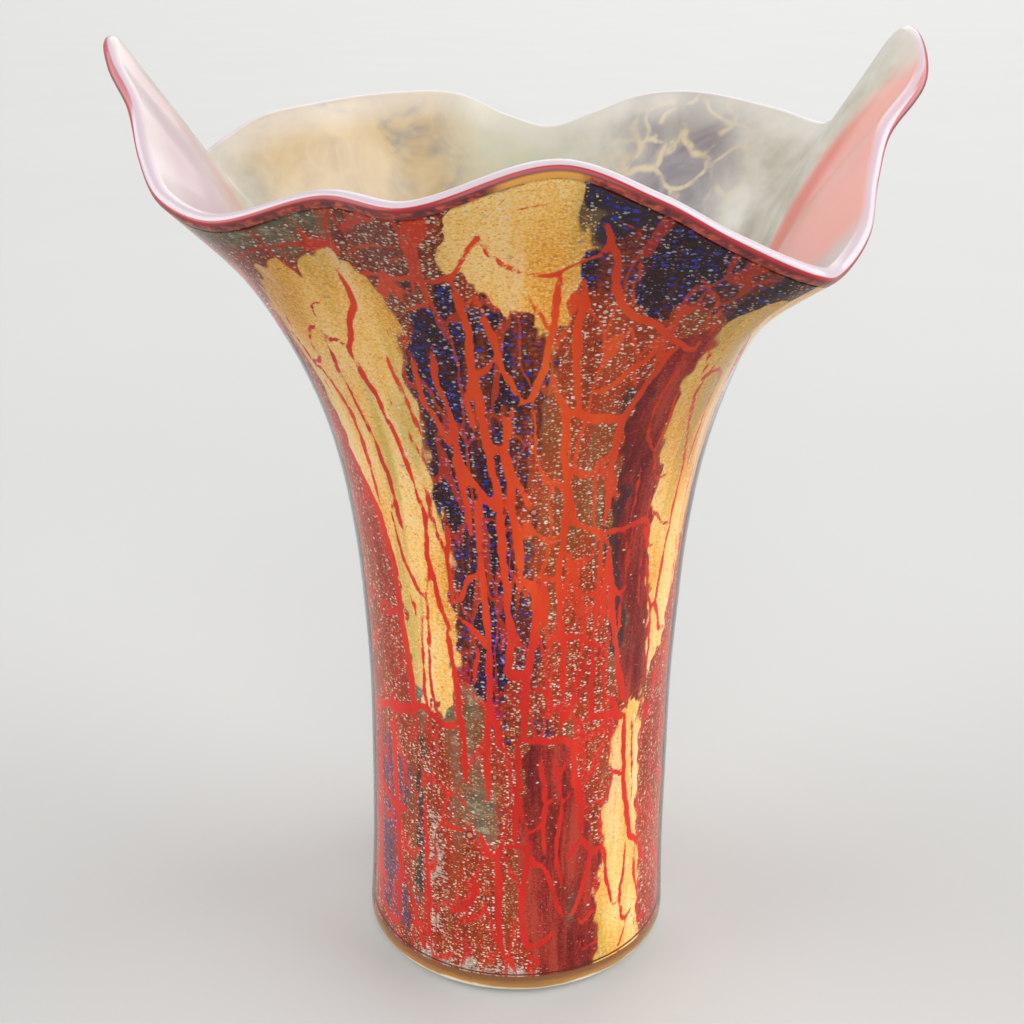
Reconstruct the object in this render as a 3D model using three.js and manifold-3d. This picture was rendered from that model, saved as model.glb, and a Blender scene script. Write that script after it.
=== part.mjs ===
// A hand blown vase in cased art glass: a plain cylinder that flares into a ruffled rim with two tall ears.
// Its wall is built in the order in which the glass was gathered: an opal lining, a red ground, a broken layer of
// coloured shards and metal leaf, and a clear casing. A thick clear gather underneath is ground flat as the foot.
// Millimetres and degrees. The origin is the centre of the foot, +Z is up, -Y is the front, and azimuth 0 is +X.
import * as THREE from "three";
import { mergeVertices } from "three/addons/utils/BufferGeometryUtils.js";
import Module from "manifold-3d";

const wasm = await Module();
wasm.setup();

// Wall layers, as depths under the outer surface. Neighbouring layers keep a small gap.
const GAP = 0.3;
const CASING_THICKNESS = 1.2;
const SHARD_THICKNESS = 0.4;
const GROUND_THICKNESS = 0.6;
const LINING_THICKNESS = 1.5;
const CASING = { outer: 0, inner: CASING_THICKNESS };
const SHARDS = layerUnder(CASING, SHARD_THICKNESS);
const GROUND = layerUnder(SHARDS, GROUND_THICKNESS);
const LINING = layerUnder(GROUND, LINING_THICKNESS);

// Foot and floors.
const FOOT_HEIGHT = 7;
const FOOT_CORNER = 4;
const FOOT_CORNER_STEPS = 3;
const LINING_FLOOR = 4;
const ABOVE_FOOT = FOOT_HEIGHT + GAP;

// Rim: the lining rolls over the other layers in a round lip as thick as the whole wall.
const LIP_RADIUS = LINING.inner / 2;
const LIP_DEPTH = 3;
const LIP_GAP = 0.6;
const LIP_ARC_STEPS = 4;

// Shards end short of the lip, so that a band of the ground shows there, and red veins show between them.
const SHARD_FOOT = 9;
const SHARD_TOP = 245;
const VEIN_WIDTH = 1.8;

// The wall's outer radius at each height, before the rim is worked: [height, radius].
const PROFILE = [
  [0, 52.5],
  [30, 51.2],
  [65, 50.8],
  [95, 50.8],
  [120, 51.9],
  [145, 53.7],
  [170, 57.3],
  [190, 62.7],
  [210, 71.5],
  [230, 84],
  [249, 104],
];
const [RIM_HEIGHT, RIM_RADIUS] = PROFILE.at(-1);

// The worked rim, anticlockwise from the right ear: [azimuth, radius, height].
const RIM = [
  [0, 115, 298.5], // tip of the right ear
  [6, 112, 290.5],
  [13, 110.5, 276],
  [21, 109.5, 267.5],
  [34, 105.5, 270.5],
  [51, 102, 274], // back right crest
  [63, 102, 272],
  [73, 101.5, 265.5],
  [83, 101, 260], // back trough
  [93, 101, 264.5],
  [103, 100.5, 272],
  [117, 100, 273], // back left crest
  [133, 101, 271],
  [145, 105, 268],
  [154.5, 108, 261.5],
  [161, 110.5, 257.5],
  [167, 111.5, 266],
  [175, 114.5, 283],
  [180, 119, 295.5], // tip of the left ear
  [186, 116.5, 290],
  [193, 111, 280.5],
  [201, 110, 268.5],
  [210, 109.5, 259.5],
  [222, 105, 256], // left front trough
  [241, 98.5, 265], // left front crest
  [255, 102, 264],
  [275, 100, 274], // front crest
  [289, 102, 265.5],
  [299, 105.5, 255.5],
  [310, 113.5, 245.5],
  [318, 111, 244], // right front trough, the lowest
  [326, 110.5, 252],
  [333, 107.5, 263],
  [341, 107.5, 275],
  [351, 116, 287.5],
];
const WORKED_FROM = 130; // the height above which the rim's shape spreads into the wall
const RADIUS_FADE = 3.6;
const HEIGHT_FADE = 3.2;

// The body bows a little to the right between the foot and the rim, as free-blown glass does.
const BOW = 1.5;
const BOW_SPAN = 265;

// Tessellation, the same for every layer, so that the gaps between them stay even.
const COLUMNS = 46;
const COLUMN_CROWDING = 0.12; // draws the columns towards the two ears
const ROWS = 11;
const ROW_CROWDING = 1.5; // draws the rows towards the rim
const PROBE = 0.01; // step of the finite differences

// Vein lines of the shard layer: the azimuth at each of the heights in VEIN_STATIONS.
const VEIN_STATIONS = [0, 50, 100, 150, 200, 250];
const VEINS = {
  left: [194, 194, 195, 195, 192, 188],
  yellow_left: [213, 214, 228, 222, 214, 218],
  yellow_right: [234, 236, 246, 246, 243, 240],
  cobalt_right: [272, 271, 267, 271, 273, 259],
  centre_right: [301, 302, 309, 298, 296, 282],
  right_left: [323, 322, 321, 317, 310, 309],
  right: [346, 346, 345, 348, 350, 352],
  back_right: [382, 380, 385, 388, 384, 382],
  back_centre_right: [419, 421, 417, 414, 418, 423],
  back_centre_left: [455, 452, 456, 458, 455, 450],
  back_left: [500, 497, 494, 498, 502, 504],
};

const COLOURS = {
  clear: 0xf1efe8,
  amber: 0xb88238,
  opal: 0xe3d6c2,
  red: 0xc8321c,
  gold: 0xe2ae45,
  cobalt: 0x1d2250,
  maroon: 0x6e2326,
  green: 0x5c7a66,
  violet: 0x5b4a78,
  silver: 0xb9a893,
};

// The shard layer, strip by strip between two vein lines, each strip from the foot up: [name, colour, top height].
const STRIPS = [
  strip("left", "yellow_left", [
    ["shard_violet_low_left", "violet", 82],
    ["shard_silver_mid_left", "silver", 180],
    ["shard_green_top_left", "green", SHARD_TOP],
  ]),
  strip("yellow_left", "yellow_right", [
    ["shard_violet_low_front_left", "violet", 98],
    ["shard_gold_column_left", "gold", 226],
    ["shard_green_top_front_left", "green", SHARD_TOP],
  ]),
  strip("yellow_right", "cobalt_right", [
    ["shard_silver_low_front", "silver", 92],
    ["shard_cobalt_column", "cobalt", 224],
    ["shard_maroon_top_front", "maroon", SHARD_TOP],
  ]),
  strip("cobalt_right", "centre_right", [
    ["shard_maroon_low_front", "maroon", 88],
    ["shard_silver_mid_front", "silver", 214],
    ["shard_gold_lobe", "gold", SHARD_TOP],
  ]),
  strip("centre_right", "right_left", [
    ["shard_gold_low_right", "gold", 96],
    ["shard_maroon_mid_right", "maroon", 210],
    ["shard_cobalt_lobe", "cobalt", SHARD_TOP],
  ]),
  strip("right_left", "right", [
    ["shard_silver_low_right", "silver", 112],
    ["shard_gold_column_right", "gold", 222],
    ["shard_cobalt_top_right", "cobalt", SHARD_TOP],
  ]),
  strip("right", "back_right", [
    ["shard_maroon_low_back_right", "maroon", 104],
    ["shard_silver_ear_right", "silver", SHARD_TOP],
  ]),
  strip("back_right", "back_centre_right", [
    ["shard_gold_low_back_right", "gold", 118],
    ["shard_cobalt_top_back_right", "cobalt", SHARD_TOP],
  ]),
  strip("back_centre_right", "back_centre_left", [
    ["shard_silver_low_back", "silver", 86],
    ["shard_maroon_mid_back", "maroon", 182],
    ["shard_green_top_back", "green", SHARD_TOP],
  ]),
  strip("back_centre_left", "back_left", [
    ["shard_cobalt_low_back_left", "cobalt", 126],
    ["shard_gold_top_back_left", "gold", SHARD_TOP],
  ]),
  strip("back_left", "left", [
    ["shard_maroon_low_back_left", "maroon", 94],
    ["shard_silver_ear_left", "silver", SHARD_TOP],
  ]),
];
const CUTTER_STEPS = 7; // rows of a shard's cutter
const CUTTER_REACH = 6; // how far a cutter stands proud of the wall, each way

function layerUnder(layer, thickness) {
  const outer = layer.inner + GAP;
  return { outer, inner: outer + thickness };
}

function strip(left, right, pieces) {
  return { left, right, pieces };
}

// The value at x of a smooth curve through knots [x, y], a cubic in each span.
function curveThrough(knots, x) {
  const last = knots.length - 1;
  const span = Math.min(Math.max(knots.findIndex((knot) => knot[0] > x) - 1, 0), last - 1);
  const i = x >= knots[last][0] ? last - 1 : span;
  const slopeAt = (k) => {
    const [before, after] = [knots[Math.max(k - 1, 0)], knots[Math.min(k + 1, last)]];
    return (after[1] - before[1]) / (after[0] - before[0]);
  };
  const [x0, y0] = knots[i];
  const [x1, y1] = knots[i + 1];
  const width = x1 - x0;
  const u = (x - x0) / width;
  const [u2, u3] = [u * u, u * u * u];
  return (
    y0 * (2 * u3 - 3 * u2 + 1) +
    y1 * (3 * u2 - 2 * u3) +
    slopeAt(i) * width * (u3 - 2 * u2 + u) +
    slopeAt(i + 1) * width * (u3 - u2)
  );
}

// The rim's rows, repeated a turn before and after, so that a curve through them closes smoothly.
function rimKnots(column) {
  return [-360, 0, 360].flatMap((turn) => RIM.map((row) => [row[0] + turn, row[column]]));
}
const RIM_RADII = rimKnots(1);
const RIM_HEIGHTS = rimKnots(2);

function wrapped(azimuth) {
  return ((azimuth % 360) + 360) % 360;
}

function bowAt(z) {
  return BOW * Math.sin((Math.PI * Math.min(z, BOW_SPAN)) / BOW_SPAN);
}

// The wall's outer surface. height is the height before the rim was worked, from 0 to RIM_HEIGHT.
function wall(azimuth, height) {
  const worked = Math.max(0, (height - WORKED_FROM) / (RIM_HEIGHT - WORKED_FROM));
  const rimRadius = curveThrough(RIM_RADII, wrapped(azimuth));
  const rimHeight = curveThrough(RIM_HEIGHTS, wrapped(azimuth));
  const radius = curveThrough(PROFILE, height) + (rimRadius - RIM_RADIUS) * worked ** RADIUS_FADE;
  const z = height + (rimHeight - RIM_HEIGHT) * worked ** HEIGHT_FADE;
  const angle = THREE.MathUtils.degToRad(azimuth);
  return new THREE.Vector3(radius * Math.cos(angle) + bowAt(z), radius * Math.sin(angle), z);
}

// The surface's upward tangent, its outward normal, and how far it runs for each millimetre of height.
function wallFrame(azimuth, height) {
  const up = wall(azimuth, height + PROBE).sub(wall(azimuth, height - PROBE));
  const around = wall(azimuth + PROBE, height).sub(wall(azimuth - PROBE, height));
  const speed = up.length() / (2 * PROBE);
  const normal = around.cross(up).normalize();
  return { up: up.normalize(), normal, speed };
}

function wallPoint(azimuth, height, depth) {
  return wall(azimuth, height).addScaledVector(wallFrame(azimuth, height).normal, -depth);
}

// The height of the point that lies a distance below the rim, measured along the wall.
function heightBelowRim(azimuth, distance) {
  return RIM_HEIGHT - distance / wallFrame(azimuth, RIM_HEIGHT).speed;
}

function columnAzimuths() {
  return Array.from({ length: COLUMNS }, (_, i) => {
    const turn = (2 * Math.PI * i) / COLUMNS;
    return THREE.MathUtils.radToDeg(turn - COLUMN_CROWDING * Math.sin(2 * turn));
  });
}
const AZIMUTHS = columnAzimuths();

// The rings of one face of a layer, upwards to just under the lip. Above the first, which is at the layer's own
// bottom, their heights are the same in every layer.
function wallRings(depth, bottom) {
  return Array.from({ length: ROWS + 1 }, (_, j) => {
    const share = 1 - (1 - j / ROWS) ** ROW_CROWDING;
    return AZIMUTHS.map((azimuth) => {
      const top = heightBelowRim(azimuth, LIP_DEPTH + LIP_GAP);
      return wallPoint(azimuth, j === 0 ? bottom : ABOVE_FOOT + (top - ABOVE_FOOT) * share, depth);
    });
  });
}

// A closed surface through rings that run up the outside and then down the inside. A ring of one point is a pole.
// With no poles, the last ring joins the first. Both faces split their quads along the same diagonal, so that
// neighbouring layers stay parallel.
function loft(outside, inside) {
  const rings = [...outside, ...inside];
  const positions = [];
  const starts = [];
  for (const points of rings) {
    starts.push(positions.length / 3);
    for (const point of points) positions.push(point.x, point.y, point.z);
  }
  const at = (row, i) => starts[row] + (i % rings[row].length);
  const index = [];
  const join = (low, high) => {
    const lean = low < outside.length ? 0 : 1;
    for (let i = 0; i < COLUMNS; i++) {
      if (rings[low].length > 1) index.push(at(low, i), at(low, i + 1), at(high, i + 1 - lean));
      if (rings[high].length > 1) index.push(at(low, i + lean), at(high, i + 1), at(high, i));
    }
  };
  for (let row = 1; row < rings.length; row++) join(row - 1, row);
  if (rings[0].length > 1) join(rings.length - 1, 0);
  const geometry = new THREE.BufferGeometry();
  geometry.setAttribute("position", new THREE.Float32BufferAttribute(positions, 3));
  geometry.setIndex(index);
  return geometry;
}

function pole(z) {
  return [new THREE.Vector3(bowAt(z), 0, z)];
}

// A layer of the wall, open at both ends.
function sleeve(layer) {
  const outside = wallRings(layer.outer, ABOVE_FOOT);
  const inside = wallRings(layer.inner, ABOVE_FOOT);
  return loft(outside, inside.reverse());
}

// The red ground: a layer of the wall with a floor.
function groundCup() {
  const outside = wallRings(GROUND.outer, ABOVE_FOOT);
  const inside = wallRings(GROUND.inner, ABOVE_FOOT + GROUND_THICKNESS);
  return loft([pole(ABOVE_FOOT), ...outside], [...inside.reverse(), pole(ABOVE_FOOT + GROUND_THICKNESS)]);
}

// A ring of the lip's section: along is the distance down from the rim, inward the depth under the outer surface.
function lipRing(along, inward) {
  return AZIMUTHS.map((azimuth) => {
    const { up, normal } = wallFrame(azimuth, RIM_HEIGHT);
    const rim = wall(azimuth, RIM_HEIGHT);
    return rim.addScaledVector(up, -along).addScaledVector(normal, -inward);
  });
}

function lipRings() {
  const rings = [LINING.outer, 0].map((depth) =>
    AZIMUTHS.map((azimuth) => wallPoint(azimuth, heightBelowRim(azimuth, LIP_DEPTH), depth)),
  );
  for (let step = 0; step <= LIP_ARC_STEPS; step++) {
    const turn = (Math.PI * step) / LIP_ARC_STEPS;
    rings.push(lipRing(LIP_RADIUS * (1 - Math.sin(turn)), LIP_RADIUS * (1 - Math.cos(turn))));
  }
  return rings;
}

// The opal lining: an inner cup whose edge rolls outwards over the other layers.
function openLining() {
  const bottom = ABOVE_FOOT + GROUND_THICKNESS + GAP;
  const floor = bottom + LINING_FLOOR;
  const outside = wallRings(LINING.outer, bottom);
  const inside = wallRings(LINING.inner, floor);
  return loft([pole(bottom), ...outside, ...lipRings()], [...inside.reverse(), pole(floor)]);
}

// The clear gather under the body, with a flat foot and a rounded outer corner.
function baseGather() {
  const flatRadius = PROFILE[0][1] - FOOT_CORNER;
  const foot = AZIMUTHS.map((azimuth) => {
    const angle = THREE.MathUtils.degToRad(azimuth);
    return new THREE.Vector3(flatRadius * Math.cos(angle), flatRadius * Math.sin(angle), 0);
  });
  const corner = Array.from({ length: FOOT_CORNER_STEPS }, (_, step) => {
    const turn = (Math.PI / 2) * ((step + 1) / FOOT_CORNER_STEPS);
    const inward = FOOT_CORNER * (1 - Math.sin(turn));
    const height = FOOT_CORNER * (1 - Math.cos(turn));
    return AZIMUTHS.map((azimuth) => wallPoint(azimuth, height, inward).setZ(height));
  });
  const top = AZIMUTHS.map((azimuth) => wallPoint(azimuth, FOOT_HEIGHT, 0).setZ(FOOT_HEIGHT));
  return loft([pole(0), foot, ...corner, top], [pole(FOOT_HEIGHT)]);
}

function solidOf(geometry) {
  const bare = geometry.clone();
  bare.deleteAttribute("normal");
  bare.deleteAttribute("uv");
  const merged = mergeVertices(bare);
  return new wasm.Manifold(
    new wasm.Mesh({
      numProp: 3,
      vertProperties: merged.attributes.position.array,
      triVerts: new Uint32Array(merged.index.array),
    }),
  );
}

function geometryOf(solid) {
  const mesh = solid.getMesh();
  const geometry = new THREE.BufferGeometry();
  geometry.setAttribute("position", new THREE.BufferAttribute(mesh.vertProperties, 3));
  geometry.setIndex(new THREE.BufferAttribute(mesh.triVerts, 1));
  return geometry;
}

// The azimuth of a vein line at a height, moved sideways by half a vein's width.
function veinEdge(name, height, side) {
  const knots = VEINS[name].map((azimuth, i) => [VEIN_STATIONS[i], azimuth]);
  const halfVein = VEIN_WIDTH / 2 / curveThrough(PROFILE, height);
  return curveThrough(knots, height) + side * THREE.MathUtils.radToDeg(halfVein);
}

// A block that follows the wall between two vein lines and two heights, and stands proud of it on both sides.
function shardCutter(left, right, bottom, top) {
  const turn = VEINS[right][0] < VEINS[left][0] ? 360 : 0;
  const rows = Array.from({ length: CUTTER_STEPS }, (_, j) => {
    const height = bottom + ((top - bottom) * j) / (CUTTER_STEPS - 1);
    const from = veinEdge(left, height, 1) - turn;
    const to = veinEdge(right, height, -1);
    const middle = (from + to) / 2;
    const outside = [from, middle, to].map((azimuth) => wallPoint(azimuth, height, -CUTTER_REACH));
    const inside = [to, middle, from].map((azimuth) => wallPoint(azimuth, height, CUTTER_REACH));
    return [...outside, ...inside];
  });
  return blockThrough(rows);
}

// A closed block through outlines stacked upwards. Each runs anticlockwise seen from above, with its first half on
// the outside and its second half facing it on the inside.
function blockThrough(rows) {
  const count = rows[0].length;
  const positions = rows.flat().flatMap((point) => [point.x, point.y, point.z]);
  const index = [];
  const at = (row, i) => row * count + (i % count);
  for (let row = 1; row < rows.length; row++) {
    for (let i = 0; i < count; i++) {
      index.push(at(row - 1, i), at(row - 1, i + 1), at(row, i + 1));
      index.push(at(row - 1, i), at(row, i + 1), at(row, i));
    }
  }
  const top = rows.length - 1;
  for (let i = 1; i < count / 2; i++) {
    const [a, b, c, d] = [i - 1, i, count - 1 - i, count - i];
    index.push(at(0, a), at(0, c), at(0, b), at(0, a), at(0, d), at(0, c));
    index.push(at(top, a), at(top, b), at(top, c), at(top, a), at(top, c), at(top, d));
  }
  const geometry = new THREE.BufferGeometry();
  geometry.setAttribute("position", new THREE.Float32BufferAttribute(positions, 3));
  geometry.setIndex(index);
  return geometry;
}

function namedMesh(name, geometry, colour, finish) {
  const material = new THREE.MeshStandardMaterial({ color: COLOURS[colour], metalness: 0, ...finish });
  const mesh = new THREE.Mesh(geometry, material);
  mesh.name = name;
  return mesh;
}

// Every shard, each cut from one whole sleeve of the shard layer.
function shardMeshes() {
  const layer = solidOf(sleeve(SHARDS));
  const veinHeight = VEIN_WIDTH / 2;
  return STRIPS.flatMap(({ left, right, pieces }) =>
    pieces.map(([name, colour, top], i) => {
      const bottom = i === 0 ? SHARD_FOOT - veinHeight : pieces[i - 1][2];
      const cutter = solidOf(shardCutter(left, right, bottom + veinHeight, top - veinHeight));
      return namedMesh(name, geometryOf(layer.intersect(cutter)), colour, { roughness: 0.3 });
    }),
  );
}

const clearGlass = { roughness: 0.05, transparent: true, opacity: 0.35 };

const group = new THREE.Group();
group.add(
  namedMesh("base_gather", baseGather(), "amber", clearGlass),
  namedMesh("clear_casing", sleeve(CASING), "clear", clearGlass),
  ...shardMeshes(),
  namedMesh("red_ground", groundCup(), "red", { roughness: 0.25 }),
  namedMesh("opal_lining", openLining(), "opal", { roughness: 0.12 }),
);

export default group;
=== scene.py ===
"""A hand blown vase in cased art glass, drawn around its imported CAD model.

The layers follow the CAD: clear casing, coloured shards, red ground and opal lining over a clear foot.
Lengths are millimetres and angles degrees until a mesh is made, which is in metres.
Azimuth 0 is +X, the right ear, and 270 is the front.
"""
import math
from types import SimpleNamespace

import bpy
import numpy as np
from mathutils.kdtree import KDTree
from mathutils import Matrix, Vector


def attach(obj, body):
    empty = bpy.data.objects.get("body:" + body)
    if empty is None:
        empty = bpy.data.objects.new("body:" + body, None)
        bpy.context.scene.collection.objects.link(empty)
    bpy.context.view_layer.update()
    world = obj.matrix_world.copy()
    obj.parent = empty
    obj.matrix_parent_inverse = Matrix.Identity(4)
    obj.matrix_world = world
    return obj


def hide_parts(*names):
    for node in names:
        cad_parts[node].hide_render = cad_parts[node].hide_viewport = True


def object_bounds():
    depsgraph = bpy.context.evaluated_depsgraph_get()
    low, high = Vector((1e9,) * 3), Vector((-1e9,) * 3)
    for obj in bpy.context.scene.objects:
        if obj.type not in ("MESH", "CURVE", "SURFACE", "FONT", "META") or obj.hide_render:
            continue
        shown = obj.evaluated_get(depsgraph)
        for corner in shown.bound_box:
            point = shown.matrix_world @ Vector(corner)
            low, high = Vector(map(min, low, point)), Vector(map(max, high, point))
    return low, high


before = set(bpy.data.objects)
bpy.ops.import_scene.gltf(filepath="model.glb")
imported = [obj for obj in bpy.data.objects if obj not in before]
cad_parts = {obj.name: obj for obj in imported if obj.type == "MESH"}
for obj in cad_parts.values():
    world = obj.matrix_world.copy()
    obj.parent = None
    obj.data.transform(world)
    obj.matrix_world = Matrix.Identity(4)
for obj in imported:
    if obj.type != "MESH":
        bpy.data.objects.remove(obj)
CAD_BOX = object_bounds()
MM = 0.001
TURN = 360
FRONT = 270

# Wall layers, as depths under the outer surface: (outer, inner).
CASING = (0, 1.2)
SHARDS = (1.3, 1.8)
GROUND = (2.2, 2.8)
LINING = (3.1, 4.6)

# Foot and floors.
FOOT_HEIGHT = 7
FOOT_CORNER = 4
ABOVE_FOOT = 7.1
LINING_BOTTOM = 8.2
LINING_FLOOR = 12.2
FLOOR_FILLET = 5
FILLET_FALL = 3  # how fast the fillet runs out towards the middle
GROUND_FLOOR = 0.6
FOOT_UNDER_SHARES = (0.6, 0.97, 1)  # of the flat's radius, for the rings underneath
FOOT_TOP_SHARES = (0.95, 0.5)

# Rim.
LIP_DEPTH = 3
LIP_GAP = 0.6
LIP_RADIUS = LINING[1] / 2

# The wall's outer radius at each height, before the rim is worked: (height, radius).
PROFILE = (
    (0, 52.5), (30, 51.2), (65, 50.8), (95, 50.8), (120, 51.9), (145, 53.7),
    (170, 57.3), (190, 62.7), (210, 71.5), (230, 84), (249, 104),
)
RIM_HEIGHT, RIM_RADIUS = PROFILE[-1]

# The worked rim, anticlockwise from the right ear: (azimuth, radius, height).
RIM = (
    (0, 115, 298.5), (6, 112, 290.5), (13, 110.5, 276), (21, 109.5, 267.5), (34, 105.5, 270.5),
    (51, 102, 274), (63, 102, 272), (73, 101.5, 265.5), (83, 101, 260), (93, 101, 264.5),
    (103, 100.5, 272), (117, 100, 273), (133, 101, 271), (145, 105, 268), (154.5, 108, 261.5),
    (161, 110.5, 257.5), (167, 111.5, 266), (175, 114.5, 283), (180, 119, 295.5), (186, 116.5, 290),
    (193, 111, 280.5), (201, 110, 268.5), (210, 109.5, 259.5), (222, 105, 256), (241, 98.5, 265),
    (255, 102, 264), (275, 100, 274), (289, 102, 265.5), (299, 105.5, 255.5), (310, 113.5, 245.5),
    (318, 111, 244), (326, 110.5, 252), (333, 107.5, 263), (341, 107.5, 275), (351, 116, 287.5),
)
WORKED_FROM = 130
RADIUS_FADE = 3.6
HEIGHT_FADE = 3.2
BOW = 1.5
BOW_SPAN = 265
PROBE = 0.01

# Shard borders: the azimuth of each at the heights in STATIONS.
STATIONS = (0, 50, 100, 150, 200, 250)
BORDERS = {
    "left": (194, 194, 195, 195, 192, 188),
    "yellow_left": (213, 214, 228, 222, 214, 218),
    "yellow_right": (234, 236, 246, 246, 243, 240),
    "cobalt_right": (272, 271, 267, 271, 273, 259),
    "centre_right": (301, 302, 309, 298, 296, 282),
    "right_left": (323, 322, 321, 317, 310, 309),
    "right": (346, 346, 345, 348, 350, 352),
    "back_right": (382, 380, 385, 388, 384, 382),
    "back_centre_right": (419, 421, 417, 414, 418, 423),
    "back_centre_left": (455, 452, 456, 458, 455, 450),
    "back_left": (500, 497, 494, 498, 502, 504),
}
# The shards between two borders, from the foot up: (name, top height). The last of each runs up to the lip.
STRIPS = (
    ("left", "yellow_left", (("shard_violet_low_left", 82), ("shard_silver_mid_left", 180),
                             ("shard_green_top_left", None))),
    ("yellow_left", "yellow_right", (("shard_violet_low_front_left", 98), ("shard_gold_column_left", 226),
                                     ("shard_green_top_front_left", None))),
    ("yellow_right", "cobalt_right", (("shard_silver_low_front", 92), ("shard_cobalt_column", 224),
                                      ("shard_maroon_top_front", None))),
    ("cobalt_right", "centre_right", (("shard_maroon_low_front", 88), ("shard_silver_mid_front", 214),
                                      ("shard_gold_lobe", None))),
    ("centre_right", "right_left", (("shard_gold_low_right", 96), ("shard_maroon_mid_right", 210),
                                    ("shard_cobalt_lobe", None))),
    ("right_left", "right", (("shard_silver_low_right", 112), ("shard_gold_column_right", 222),
                             ("shard_cobalt_top_right", None))),
    ("right", "back_right", (("shard_maroon_low_back_right", 104), ("shard_silver_ear_right", None))),
    ("back_right", "back_centre_right", (("shard_gold_low_back_right", 118),
                                         ("shard_cobalt_top_back_right", None))),
    ("back_centre_right", "back_centre_left", (("shard_silver_low_back", 86), ("shard_maroon_mid_back", 182),
                                               ("shard_green_top_back", None))),
    ("back_centre_left", "back_left", (
        ("shard_cobalt_low_back_left", 126), ("shard_gold_top_back_left", None))),
    ("back_left", "left", (("shard_maroon_low_back_left", 94), ("shard_silver_ear_left", None))),
)
SLOTS = {
    "gold": "gold_glass", "cobalt": "cobalt_glass", "maroon": "maroon_glass", "green": "green_glass",
    "violet": "violet_glass", "silver": "silver_leaf_glass",
}

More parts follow.
